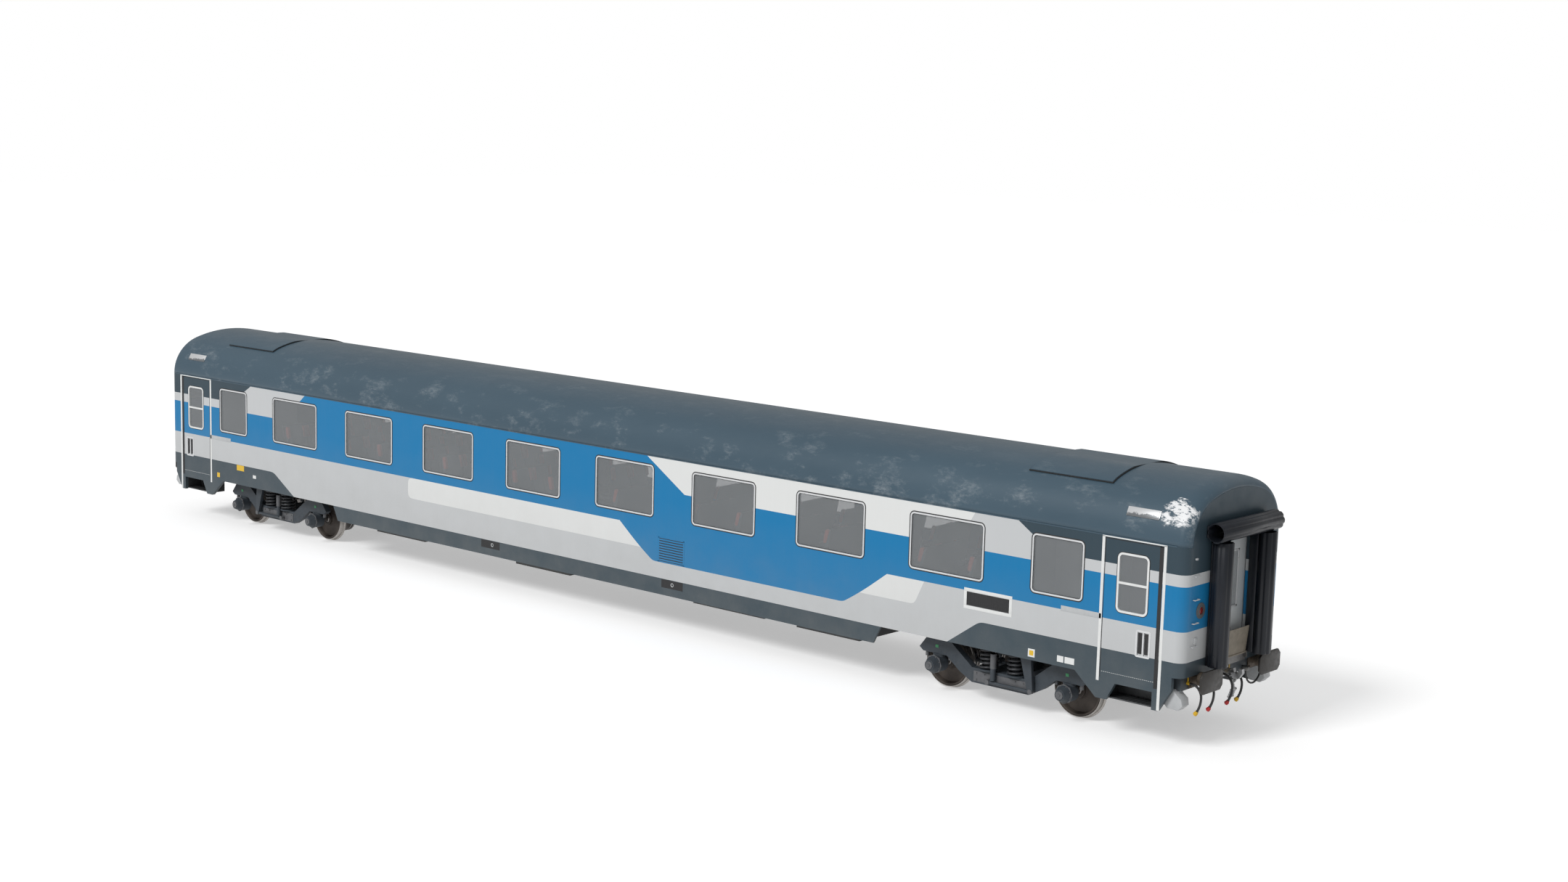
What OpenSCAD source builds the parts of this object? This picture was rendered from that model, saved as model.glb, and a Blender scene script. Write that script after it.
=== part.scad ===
// Four-axle day coach for standard gauge: carbody, gangways, interior and two bogies.
// X runs along the coach, Y across it, Z up. The origin is at mid-length, on the plane
// that the wheel flanges stand on. "front" is the +X end and "left" is the -Y side.

/* [Carbody] */
// Length of the carbody over its end walls
body_l = 25960; // [25000:10:26200]
// Width over the side walls
body_w = 2825; // [2700:5:2900]
// Height of the roof's crown
roof_top = 4080; // [4000:5:4200]
// Height of the joint between the side wall and the roof
cant_z = 3150; // [3100:5:3250]
// Radius of the roof's shoulders
shoulder_r = 840; // [760:5:900]
// Height of the side wall's lower edge
sole_z = 960; // [940:5:1000]
// Thickness of the side and end walls
wall_t = 70; // [50:5:90]
// Thickness of the roof
roof_t = 80; // [50:5:100]
// Radius of the carbody's corners and of the roof's ends
corner_r = 160; // [120:5:200]
// Top of the floor
floor_z = 1278; // [1240:2:1300]
// Thickness of the floor
floor_t = 118; // [80:2:130]
// Height of the end walls' lower edge
end_wall_z = 1160; // [1140:5:1180]

/* [Windows] */
// Number of saloon windows a side
window_count = 8; // [4:2:8]
// Distance between the saloon windows' centres
window_pitch = 2440; // [2000:10:2450]
// Width of a saloon window over its frame
window_w = 1510; // [1000:10:1600]
// Width of an end window over its frame
end_window_w = 990; // [600:10:1100]
// Distance of the end windows' centres from mid-length
end_window_x = 10690; // [10600:10:10750]
// Lowest point of the window frames
window_z = 2036; // [1950:2:2060]
// Height of the windows over their frames
window_h = 964; // [800:2:1000]
// Corner radius of the window frames
window_r = 90; // [40:5:120]
// Width that shows of a window frame
frame_w = 42; // [25:1:60]
// How far the frame's flange laps over the wall
frame_lap = 18; // [10:1:22]
// How far the frames stand proud of the wall
frame_proud = 4; // [2:1:8]
// Thickness of a window's glass unit
glass_t = 24; // [16:1:30]

/* [Entry doors] */
// Distance of the doors' centres from mid-length
door_x = 12060; // [12000:5:12080]
// Width of the door opening
door_w = 1030; // [800:5:1060]
// Lowest point of the door opening
door_z = 940; // [920:5:980]
// Height of the door opening
door_h = 2180; // [1900:5:2190]
// Gap round a door leaf
door_gap = 4; // [2:1:8]
// Thickness of a door leaf
door_t = 52; // [40:1:60]
// Width of the door's window over its frame
door_win_w = 560; // [400:5:600]
// Lowest point of the door's window
door_win_z = 2000; // [1900:5:2100]
// Height of the door's window over its frame
door_win_h = 930; // [700:5:980]

/* [Gangways] */
// Clear width of the doorway in an end wall
doorway_w = 900; // [700:10:940]
// Highest point of the doorway
doorway_top = 3110; // [2900:5:3130]
// Outer diameter of a rubber tube
tube_d = 320; // [260:5:340]
// Wall of a rubber tube
tube_t = 22; // [12:1:40]
// Distance of the tubes' axes from the end wall
tube_out = 160; // [140:1:190]
// Distance of the upright tubes' axes from the coach's middle
tube_y = 650; // [630:5:700]
// Height of the cross tube's axis
tube_z = 3340; // [3310:5:3360]
// Length of the cross tube
tube_l = 1800; // [1700:10:1900]
// Lowest point of the upright tubes
tube_foot_z = 1260; // [1260:5:1300]
// Thickness of an end door's leaf
end_door_t = 40; // [30:1:50]
// Travel of an end door
end_door_travel = 760; // [600:10:760]
// Width of a fallplate
fallplate_w = 780; // [600:10:820]
// Reach of a fallplate from its hinge
fallplate_l = 430; // [350:5:460]
// Thickness of a fallplate
fallplate_t = 10; // [8:1:16]
// Lean of the raised fallplate from the upright
fallplate_lean = 6; // [3:1:12]

/* [Bogies] */
// Distance between the bogies' centres
bogie_pitch = 19000; // [18500:50:19200]
// Distance between a bogie's axles
wheelbase = 2560; // [2400:20:2600]
// Radius of the wheel tread
wheel_r = 445; // [420:1:450]
// Height of the wheel's flange
flange_h = 28; // [26:1:30]
// Width of a wheel's rim
rim_w = 135; // [125:1:140]
// Distance between the wheels' inner faces
back_to_back = 1360; // [1357:1:1363]
// Diameter of the axle between the wheels
axle_d = 170; // [150:2:190]
// Diameter of the axle's journals
journal_d = 130; // [110:2:140]
// Distance between the side frames' middles
frame_track = 2130; // [2080:5:2180]
// Thickness of a side frame
frame_t = 130; // [100:5:150]
// Diameter of the centre pivot
pivot_d = 140; // [100:5:160]
// Radial clearance of turning pins and journals
run_gap = 0.05; // [0.02:0.01:0.1]

/* [Buffers and couplings] */
// Length of the coach over its buffers
over_buffers = 26400; // [26360:10:26500]
// Distance between the buffers' middles
buffer_pitch = 1750; // [1700:10:1760]
// Height of the buffers' middles
buffer_z = 1085; // [1060:5:1100]
// Width of a buffer's plate
plate_w = 630; // [450:5:660]
// Height of a buffer's plate
plate_h = 340; // [300:5:360]
// Diameter of the brake hoses
hose_d = 38; // [30:1:40]

/* [Interior] */
// Number of seat rows in the saloon
seat_rows = 18; // [8:2:18]
// Distance between the seat rows
seat_pitch = 1010; // [900:10:1020]
// Width of a pair of seats
seat_w = 1020; // [900:5:1040]
// Height of the seat cushion's top over the floor
seat_h = 440; // [400:5:460]
// Height of the backrest's top over the floor
back_h = 1160; // [1000:5:1200]
// Distance of the saloon's end partitions from mid-length
partition_x = 9900; // [9800:10:9950]
// Thickness of the partitions
partition_t = 40; // [25:1:60]
// Width of the doorways in the partitions
aisle_w = 640; // [560:10:700]
// Height of the ceiling over the floor
ceiling_h = 2180; // [2050:10:2220]

/* [Hidden] */
$fn = 64;
slack = 0.3;                                  // gap between curved or moving faces
cut = 1;                                      // how far a cutting shape runs past a face
half_l = body_l / 2;
half_w = body_w / 2;
in_w = half_w - wall_t;                       // inner face of a side wall
straight_l = body_l - 2 * corner_r;
// The roof's section is a crown arc that meets two shoulder arcs without a kink
shoulder_y = half_w - shoulder_r;
rise = roof_top - cant_z;
crown_r = shoulder_r + (pow(rise - shoulder_r, 2) + pow(shoulder_y, 2)) / (2 * (rise - shoulder_r));
crown_z = roof_top - crown_r;
tangent_a = atan2(cant_z - crown_z, shoulder_y);
seam_a = 0.01;                                // seam between the roof's crown and its shoulders, in degrees
crown_ease = 1.5;
axle_z = wheel_r + flange_h;
cross_z = sole_z + 20;                        // lower edge of the underframe's cross bars
cross_pitch = 1200;
ends = [1, -1];
// A row is [centre x, width]
main_windows = [for (i = [0 : window_count - 1])
    [(i - (window_count - 1) / 2) * window_pitch, window_w]];
windows = concat(main_windows, [for (e = ends) [e * end_window_x, end_window_w]]);
floor_under = floor_z - floor_t;
foot_z = 605;                                 // lower edge of the side walls at the entry doors
step_z = 640;                                 // tread of the lower step
ceiling_z = floor_z + ceiling_h;
headstock_face = half_l - 100;
headstock_t = 180;
bogie_x = bogie_pitch / 2;
seat_x0 = (seat_rows - 1) * seat_pitch / 2;
rail_top = doorway_top + 45;                  // upper face of the bar that an end door hangs on
door_face = half_l - wall_t - 15;             // outer face of an end door's leaf
leaf_w = doorway_w + 60;
hinge_x = half_l + 40;                        // pin of a fallplate
hinge_z = floor_z + 22;
pin_d = 20;
tube_up_l = tube_z - tube_d / 2 - slack - tube_foot_z;
door_win_r = 90;
journal_end = 1160;                           // end of an axle, from the coach's middle
// Hoses: where they leave the headstock, and their routes as [out, up] points
hose_y = [-1060, -690, -145, 145];
hose_sides = 8;
cock_l = 50;
hose_route = [[0, 1030], [18, 1030], [35, 1030], [68, 1026], [100, 1016], [129, 998], [155, 974],
              [176, 946], [192, 913], [202, 877], [205, 840], [202, 789], [193, 738], [177, 690],
              [156, 643], [141, 617]];
hose_rings = [0, 2, 4, 6, 8, 10, 12, 14, 15];
jumper_d = 30;
jumper_out = 60;                              // from the headstock to the jumper's plane
jumper_route = [[590, 946], [590, 915], [598, 884], [622, 826], [660, 776], [710, 738], [768, 714],
                [830, 706], [892, 714], [950, 738], [1000, 776], [1038, 826], [1062, 884],
                [1070, 915], [1070, 946]];
jumper_rings = [0, 1, 2, 4, 6, 7, 8, 10, 12, 13, 14];

// Colours
slate = [0.26, 0.31, 0.35];
roof_grey = [0.31, 0.38, 0.43];
light_grey = [0.8, 0.8, 0.81];
blue = [0.1, 0.5, 0.71];
steel = [0.3, 0.3, 0.31];
rubber = [0.09, 0.09, 0.1];

// ---------- shared shapes ----------
// Lays an outline drawn in (x, z) against the left side, its outer face at y
module on_side(y, thick) {
    translate([0, y + thick, 0]) rotate([90, 0, 0]) linear_extrude(thick) children();
}
// A rounded rectangle made of squares and circles, so that its corners stay true arcs
module round_rect(w, h, r) {
    translate([-w / 2, r]) square([w, h - 2 * r]);
    translate([r - w / 2, 0]) square([w - 2 * r, h]);
    for (x = [r - w / 2, w / 2 - r], z = [r, h - r]) translate([x, z]) circle(r);
}
module rod_x(x0, x1, y, z, d) {
    translate([x0, y, z]) rotate([0, 90, 0]) cylinder(h = x1 - x0, d = d);
}
module rod_y(x, y0, y1, z, d) {
    translate([x, y1, z]) rotate([90, 0, 0]) cylinder(h = y1 - y0, d = d);
}
// Its children, and their mirror image on the other side of the coach
module both_sides() {
    children();
    mirror([0, 1, 0]) children();
}
module box(x0, x1, y0, y1, z0, z1) {
    translate([x0, y0, z0]) cube([x1 - x0, y1 - y0, z1 - z0]);
}
// Puts its children at the other end, turned half round about Z
module at_end(e) {
    rotate([0, 0, e > 0 ? 0 : 180]) children();
}

// ---------- side walls ----------
// Outline of a side wall: its lower edge drops round the entry doors
module side_outline() {
    foot_in = door_x - door_w / 2 - 55;
    foot_out = door_x + door_w / 2 + 30;
    polygon(concat(
        [[-straight_l / 2, cant_z], [-straight_l / 2, sole_z],
         [-foot_out, foot_z], [-foot_in, foot_z], [-foot_in + 400, sole_z]],
        [[foot_in - 400, sole_z], [foot_in, foot_z], [foot_out, foot_z],
         [straight_l / 2, sole_z], [straight_l / 2, cant_z]]));
}
module side_wall() {
    on_side(-half_w, wall_t) difference() {
        side_outline();
        for (w = windows) translate([w[0], window_z + frame_lap])
            round_rect(w[1] - 2 * frame_lap, window_h - 2 * frame_lap, window_r - frame_lap);
        for (e = ends) mirror([e < 0 ? 1 : 0, 0]) translate([door_x, 0]) {
            translate([-door_w / 2, door_z]) square([door_w, door_h]);
            // mouth of the step well under the door
            polygon([[-380, foot_z - cut], [430, foot_z - cut], [430, 880], [-230, 880]]);
        }
    }
}
module side_wall_left() {
    color(blue) side_wall();
}
module side_wall_right() {
    color(blue) rotate([0, 0, 180]) side_wall();
}

// ---------- roof ----------
// Band of a disc's edge between two directions less than half a turn apart
module arc_band(r, t, a0, a1, n) {
    mid = (a0 + a1) / 2;
    intersection() {
        difference() {
            circle(r, $fn = n);
            circle(r - t, $fn = n);
        }
        polygon([[0, 0], 1.3 * r * [cos(a0), sin(a0)], 1.6 * r * [cos(mid), sin(mid)],
                 1.3 * r * [cos(a1), sin(a1)]]);
    }
}
// Region under the roof, in (y, z), with the shoulder arcs drawn in by inset. Its crown arc is
// drawn in a little more, so that it crosses the shoulder arcs at a clean corner.
module roof_region(inset) {
    far = 1.3 * crown_r;
    intersection() {
        translate([0, crown_z]) circle(crown_r - inset - crown_ease, $fn = 240);
        translate([-half_w, cant_z]) square([body_w, rise]);
        union() {
            for (s = ends) translate([s * shoulder_y, cant_z]) circle(shoulder_r - inset, $fn = 120);
            polygon([[0, crown_z], [far * cos(tangent_a), crown_z + far * sin(tangent_a)],
                     [-far * cos(tangent_a), crown_z + far * sin(tangent_a)]]);
        }
    }
}
// Stands a (y, z) outline up across the coach, from x0 to x1
module across(x0, x1) {
    translate([x0, 0, 0]) rotate([90, 0, 90]) linear_extrude(x1 - x0) children();
}
// Quarter ring that turns the corner from a wall's outer face into the end face
module corner_ring(t) {
    intersection() {
        difference() {
            circle(corner_r);
            circle(corner_r - t);
        }
        square(corner_r + cut);
    }
}
// Roof end: the corner ring swept along the crown and the shoulders, with a seam between them
module roof_end() {
    translate([half_l - corner_r, 0, 0]) rotate([90, 0, 90]) {
        translate([0, crown_z]) rotate([0, 0, tangent_a + seam_a])
            rotate_extrude(angle = 180 - 2 * tangent_a - 2 * seam_a, $fn = 240)
                translate([crown_r - corner_r, 0]) corner_ring(roof_t);
        for (s = [0, 1]) mirror([s, 0, 0]) translate([shoulder_y, cant_z])
            rotate_extrude(angle = tangent_a, $fn = 120)
                translate([shoulder_r - corner_r, 0]) corner_ring(roof_t);
    }
}
module roof() {
    color(roof_grey) {
        across(-straight_l / 2, straight_l / 2) {
            translate([0, crown_z])
                arc_band(crown_r, roof_t, tangent_a + seam_a, 180 - tangent_a - seam_a, 240);
            for (s = [0, 1]) mirror([s, 0]) translate([shoulder_y, cant_z])
                arc_band(shoulder_r, roof_t, 0, tangent_a, 120);
        }
        for (e = ends) at_end(e) roof_end();
    }
}

// ---------- end walls ----------
module end_wall() {
    color(blue) difference() {
        union() {
            box(half_l - wall_t, half_l, corner_r - half_w, half_w - corner_r, end_wall_z, cant_z);
            across(half_l - wall_t, half_l) roof_region(corner_r + slack);
            for (s = [0, 1]) mirror([0, s, 0])
                translate([half_l - corner_r, half_w - corner_r, end_wall_z])
                    linear_extrude(cant_z - end_wall_z) corner_ring(wall_t);
        }
        box(half_l - wall_t - cut, half_l + cut, -doorway_w / 2, doorway_w / 2,
            end_wall_z - cut, doorway_top);
    }
}
module end_wall_front() {
    end_wall();
}
module end_wall_rear() {
    at_end(-1) end_wall();
}

// ---------- floor and underframe ----------
module floor_plate() {
    bevel = corner_r - wall_t;
    end_x = half_l - wall_t;
    color(slate) translate([0, 0, floor_under]) linear_extrude(floor_t) polygon([
        [-end_x, bevel - in_w], [bevel - end_x, -in_w], [end_x - bevel, -in_w], [end_x, bevel - in_w],
        [end_x, in_w - bevel], [end_x - bevel, in_w], [bevel - end_x, in_w], [-end_x, in_w - bevel]]);
}
// Sole bars, cross bars and the bolsters over the bogies
module underframe() {
    color(steel) {
        both_sides() box(-12500, 12500, in_w - 110, in_w, sole_z, floor_under);
        for (x = concat([-11800, 11800], [for (i = [-6 : 6]) i * cross_pitch]))
            box(x - 60, x + 60, -in_w + 110, in_w - 110, cross_z, floor_under);
        for (e = ends) box(e * bogie_x - 360, e * bogie_x + 360, -in_w + 110, in_w - 110,
                           sole_z, floor_under);
    }
}
module headstocks() {
    color(slate) for (e = ends) at_end(e) {
        box(headstock_face - headstock_t, headstock_face, -1240, 1240, 930, floor_under);
        box(12500, headstock_face - headstock_t, -320, 320, 980, floor_under);
    }
}
module pivot_pins() {
    color(steel) for (e = ends) translate([e * bogie_x, 0, 470]) cylinder(h = sole_z - 470, d = pivot_d);
}
module skirts() {
    color(slate) both_sides() on_side(-half_w, 40)
        polygon([[-7250, sole_z], [-7100, 660], [7100, 660], [7250, sole_z]]);
}

// ---------- equipment under the floor ----------
// A row is [centre x, length, width, height]
under_boxes = [[-5400, 1500, 2300, 430], [-3300, 1300, 2300, 400], [-1200, 1500, 2300, 440],
               [3600, 1700, 2300, 420], [5900, 1400, 2300, 430]];
module equipment_boxes() {
    color(steel) for (b = under_boxes)
        box(b[0] - b[1] / 2, b[0] + b[1] / 2, -b[2] / 2, b[2] / 2, cross_z - b[3], cross_z);
}
module air_tanks() {
    color(steel) for (y = [-500, 500]) {
        rod_x(400, 2200, y, 720, 380);
        for (x = [700, 1900]) box(x - 30, x + 30, y - 60, y + 60, 720, floor_under);
    }
}

// ---------- windows ----------
module frame_ring(w, h, r) {
    // the tube that lines the opening
    on_side(-half_w, wall_t) difference() {
        translate([0, frame_lap]) round_rect(w - 2 * frame_lap, h - 2 * frame_lap, r - frame_lap);
        translate([0, frame_w]) round_rect(w - 2 * frame_w, h - 2 * frame_w, r - frame_w);
    }
    // the flange outside
    on_side(-half_w - frame_proud, frame_proud) difference() {
        round_rect(w, h, r);
        translate([0, frame_w]) round_rect(w - 2 * frame_w, h - 2 * frame_w, r - frame_w);
    }
}
module glass_pane(w, h, r) {
    on_side(-half_w + 4, glass_t)
        translate([0, frame_w]) round_rect(w - 2 * frame_w, h - 2 * frame_w, r - frame_w);
}
module window_frames() {
    color("silver") both_sides() for (w = windows) translate([w[0], 0, window_z])
        frame_ring(w[1], window_h, window_r);
}
module window_glass() {
    color([0.55, 0.6, 0.62, 0.5]) both_sides() {
        for (w = windows) translate([w[0], 0, window_z]) glass_pane(w[1], window_h, window_r);
        for (e = ends) translate([e * door_x, 0, 0]) on_side(-half_w + 4, glass_t)
            translate([0, door_win_z]) round_rect(door_win_w, door_win_h, door_win_r);
    }
}

// ---------- entry doors ----------
// Plug door at the front left: a leaf cut for its window, with a recessed handle
module entry_door() {
    color(blue) translate([door_x, 0, 0]) difference() {
        on_side(-half_w, door_t) difference() {
            translate([door_gap - door_w / 2, door_z + slack])
                square([door_w - 2 * door_gap, door_h - door_gap - slack]);
            translate([0, door_win_z]) round_rect(door_win_w, door_win_h, door_win_r);
        }
        box(130, 330, -half_w - cut, -half_w + 20, 1400, 1760);
    }
}
module door_front_left() {
    entry_door();
}
module door_front_right() {
    mirror([0, 1, 0]) entry_door();
}
module door_rear_left() {
    mirror([1, 0, 0]) entry_door();
}
module door_rear_right() {
    at_end(-1) entry_door();
}
// Step well under each door, with two treads
module entrance_steps() {
    color(steel) for (e = ends) both_sides() translate([e * door_x, 0, 0]) {
        box(-440, 440, -in_w, -1000, step_z - 20, step_z);
        box(-440, 440, -1020, -1000, step_z, door_z);
        box(-440, 440, -in_w + 80, -1000, door_z - 20, door_z);
        for (x = [-440, 420]) box(x, x + 20, -in_w, -1020, step_z, sole_z);
    }
}

// ---------- gangways ----------
module gangway() {
    foot = 60;
    color(rubber) translate([half_l, 0, 0]) {
        difference() {
            union() {
                rod_y(tube_out, -tube_l / 2, tube_l / 2, tube_z, tube_d);
                box(0, foot, -tube_l / 2, tube_l / 2, tube_z - 70, tube_z + 70);
            }
            rod_y(tube_out, -tube_l / 2 - cut, tube_l / 2 + cut, tube_z, tube_d - 2 * tube_t);
        }
        both_sides() translate([0, tube_y, tube_foot_z]) difference() {
            union() {
                translate([tube_out, 0, 0]) cylinder(h = tube_up_l, d = tube_d);
                box(0, foot, -70, 70, 0, tube_up_l);
            }
            translate([tube_out, 0, -cut]) cylinder(h = tube_up_l + 2 * cut, d = tube_d - 2 * tube_t);
        }
    }
}
module gangway_front() {
    gangway();
}
module gangway_rear() {
    at_end(-1) gangway();
}
// Threshold, the fallplate's lugs and pin, and the bar that the end door hangs on
module gangway_fittings() {
    color("dimgray") for (e = ends) at_end(e) {
        box(half_l - wall_t, half_l + 10, -doorway_w / 2, doorway_w / 2, floor_under, floor_z);
        both_sides() box(half_l + 10, hinge_x + 20, fallplate_w / 2 + 5, fallplate_w / 2 + 30,
                         hinge_z - 90, hinge_z + 16);
        rod_y(hinge_x, -fallplate_w / 2 - 20, fallplate_w / 2 + 20, hinge_z, pin_d);
        box(door_face - 25, half_l - wall_t, -leaf_w / 2, leaf_w / 2 + end_door_travel + 10,
            rail_top - 25, rail_top);
    }
}
// Sliding leaf inside the end wall, hooked over its bar
module end_door() {
    color(light_grey) {
        difference() {
            box(door_face - end_door_t, door_face, -leaf_w / 2, leaf_w / 2,
                floor_z + 8, rail_top - 33);
            box(door_face - 15, door_face + cut, -230, 230, 2050, 2900);
        }
        box(door_face - end_door_t, door_face - end_door_t + 8, -leaf_w / 2, leaf_w / 2,
            rail_top - 33, rail_top + 14);
        box(door_face - end_door_t + 8, door_face, -leaf_w / 2, leaf_w / 2,
            rail_top + slack, rail_top + 14);
    }
}
module end_door_front() {
    end_door();
}
module end_door_rear() {
    at_end(-1) end_door();
}
// Footplate stowed upright, with its barrel round the pin
module fallplate() {
    up = [sin(fallplate_lean), cos(fallplate_lean)];
    across_up = fallplate_t / 2 * [up[1], -up[0]];
    foot = pin_d / 2 + 4;
    color([0.42, 0.38, 0.32]) translate([hinge_x, 0, hinge_z]) difference() {
        union() {
            rod_y(0, -fallplate_w / 2, fallplate_w / 2, 0, pin_d + 16);
            on_side(2 - fallplate_w / 2, fallplate_w - 4)
                polygon([foot * up - across_up, foot * up + across_up,
                         fallplate_l * up + across_up, fallplate_l * up - across_up]);
        }
        rod_y(0, -fallplate_w, fallplate_w, 0, pin_d + 2 * run_gap);
    }
}
module fallplate_front() {
    fallplate();
}
module fallplate_rear() {
    at_end(-1) fallplate();
}

// ---------- buffers, drawgear, lamps ----------
module buffer() {
    case_l = 210;
    case_neck = 72;
    plate_t = 35;
    clip = 70;
    face = over_buffers / 2;
    translate([0, buffer_pitch / 2, buffer_z]) {
        rod_x(headstock_face, half_l + 5, 0, 0, 2 * case_neck);
        rod_x(half_l + 5, headstock_face + case_l, 0, 0, 210);
        box(headstock_face, headstock_face + 25, -150, 150, -140, 75);
        rod_x(headstock_face + case_l, face - plate_t, 0, 0, 150);
        across(face - plate_t, face) polygon([
            [-plate_w / 2, clip - plate_h / 2], [clip - plate_w / 2, -plate_h / 2],
            [plate_w / 2 - clip, -plate_h / 2], [plate_w / 2, clip - plate_h / 2],
            [plate_w / 2, plate_h / 2 - clip], [plate_w / 2 - clip, plate_h / 2],
            [clip - plate_w / 2, plate_h / 2], [-plate_w / 2, plate_h / 2 - clip]]);
    }
}
module buffers() {
    color([0.13, 0.12, 0.11]) for (e = ends) at_end(e) both_sides() buffer();
}
// Drawhook with the screw coupling's link laid in it
module drawgear() {
    hook_z = 1045;
    color("gray") for (e = ends) at_end(e) translate([headstock_face, 0, hook_z]) {
        box(0, 20, -110, 110, -90, 90);
        box(20, 150, -45, 45, -45, 45);
        on_side(-35, 70) polygon([[150, -45], [200, -95], [290, -75], [350, 10], [340, 75],
                                  [290, 85], [295, 30], [250, -5], [210, 10], [190, 70], [150, 60]]);
        rod_y(175, -105, 105, -10, 50);
    }
}
module tail_lamps() {
    color("gray") for (e = ends) at_end(e) both_sides() {
        rod_x(half_l, half_l + 14, 960, 2150, 250);
        rod_x(half_l + 14, half_l + 24, 960, 2150, 120);
    }
}

// ---------- hoses ----------
// Cross-section ring of a hose at route point i, in the plane that holds the route
function along(route, i) = let (last = len(route) - 1, a = route[max(i - 1, 0)],
                                b = route[min(i + 1, last)]) (b - a) / norm(b - a);
function ring(route, i, d) = let (t = along(route, i), p = route[i])
    [for (k = [0 : hose_sides - 1]) let (a = 360 * k / hose_sides)
        [p[0] - t[1] * d / 2 * cos(a), d / 2 * sin(a), p[1] + t[0] * d / 2 * cos(a)]];
// Tube swept along a route of [out, up] points
module hose(route, rings, d) {
    path = [for (i = rings) route[i]];
    n = len(path);
    points = [for (i = [0 : n - 1]) each ring(path, i, d)];
    polyhedron(points, concat(
        [[for (k = [0 : hose_sides - 1]) k]],
        [for (i = [0 : n - 2], k = [0 : hose_sides - 1]) let (a = i * hose_sides,
            next = (k + 1) % hose_sides)
            [a + k, a + k + hose_sides, a + next + hose_sides, a + next]],
        [[for (k = [hose_sides - 1 : -1 : 0]) (n - 1) * hose_sides + k]]));
}
module brake_hose(e, i) {
    color(rubber) at_end(e) translate([headstock_face + cock_l, hose_y[i], 0])
        hose(hose_route, hose_rings, hose_d);
}
module jumper(e) {
    color(rubber) at_end(e) translate([headstock_face + jumper_out, 0, 0]) rotate([0, 0, 90])
        hose(jumper_route, jumper_rings, jumper_d);
}
// Coupling heads at the hoses' free ends
module hose_heads() {
    last = len(hose_route) - 1;
    p = hose_route[last];
    t = along([for (i = hose_rings) hose_route[i]], len(hose_rings) - 1);
    color("gold") for (e = ends) at_end(e) for (y = hose_y)
        translate([headstock_face + cock_l + p[0], y, p[1]]) rotate([0, atan2(t[0], t[1]), 0])
            cylinder(h = 60, d = 66);
}
// Cocks at the hoses' roots and the jumper cable's two sockets
module hose_cocks() {
    color("gold") for (e = ends) at_end(e) {
        for (y = hose_y) rod_x(headstock_face, headstock_face + cock_l, y, hose_route[0][1], 56);
        for (i = [0, len(jumper_route) - 1]) translate([0, jumper_route[i][0], jumper_route[i][1]])
            box(headstock_face, headstock_face + jumper_out + 40, -40, 40, 0, 70);
    }
}

// ---------- interior ----------
// Runs its children at the middle of each pair of seats; s_x is the way that the seats face
module each_seat() {
    for (i = [0 : seat_rows - 1]) {
        x = i * seat_pitch - seat_x0;
        both_sides() translate([x, in_w - 15 - seat_w / 2, floor_z])
            mirror([x > 0 ? 1 : 0, 0, 0]) children();
    }
}
module seat_cushions() {
    color([0.2, 0.21, 0.23]) each_seat()
        box(-200, 270, -seat_w / 2 + 20, seat_w / 2 - 20, seat_h - 130, seat_h);
}
module seat_backs() {
    color([0.2, 0.21, 0.23]) each_seat() translate([-215, 0, seat_h - 60]) rotate([0, -12, 0])
        box(-110, 0, -seat_w / 2 + 20, seat_w / 2 - 20, 0, (back_h - seat_h + 60) / cos(12) - 24);
}
// Pedestal, seat pan and the shell behind the back
module seat_stands() {
    color("dimgray") each_seat() {
        box(-160, 160, -60, 60, 0, seat_h - 130 - 30);
        box(-345, 260, -seat_w / 2, seat_w / 2, seat_h - 130 - 30, seat_h - 130 - slack);
        translate([-215, 0, seat_h - 60]) rotate([0, -12, 0])
            box(-130, -110 - slack, -seat_w / 2, seat_w / 2, -90, (back_h - seat_h + 60) / cos(12));
    }
}
// Cross walls with doorways, and the walls of the compartments beside the end corridors
module partitions() {
    far_x = 11300;
    color(light_grey) for (e = ends) at_end(e) {
        for (x = [partition_x, far_x]) across(x, x + partition_t) difference() {
            union() {
                translate([-in_w, floor_z]) square([2 * in_w, cant_z - floor_z]);
                roof_region(roof_t + slack);
            }
            translate([-aisle_w / 2, floor_z - cut]) square([aisle_w, 2050 + cut]);
        }
        both_sides() box(partition_x + partition_t, far_x, aisle_w / 2, aisle_w / 2 + 30,
                         floor_z, ceiling_z);
    }
}
module ceiling() {
    color(light_grey) across(-partition_x, partition_x) intersection() {
        roof_region(roof_t + slack);
        translate([-half_w, ceiling_z]) square([body_w, 20]);
    }
}
module luggage_racks() {
    color("silver") both_sides() box(-partition_x, partition_x, in_w - 360, in_w, 3080, 3100);
}

// ---------- bogies ----------
module bogie_frame() {
    arm_z = 880;
    well_z = 545;
    color(steel) difference() {
        union() {
            both_sides() on_side(-frame_track / 2 - frame_t / 2, frame_t) polygon([
                [-1640, 700], [-1500, arm_z], [-1000, arm_z], [-560, well_z], [560, well_z],
                [1000, arm_z], [1500, arm_z], [1640, 700], [1560, 640], [1080, 640], [820, 440],
                [560, 300], [-560, 300], [-820, 440], [-1080, 640], [-1560, 640]]);
            box(-300, 300, -frame_track / 2, frame_track / 2, 380, well_z);
        }
        cylinder(h = 2 * well_z, d = pivot_d + 2 * run_gap);
    }
}
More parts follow.
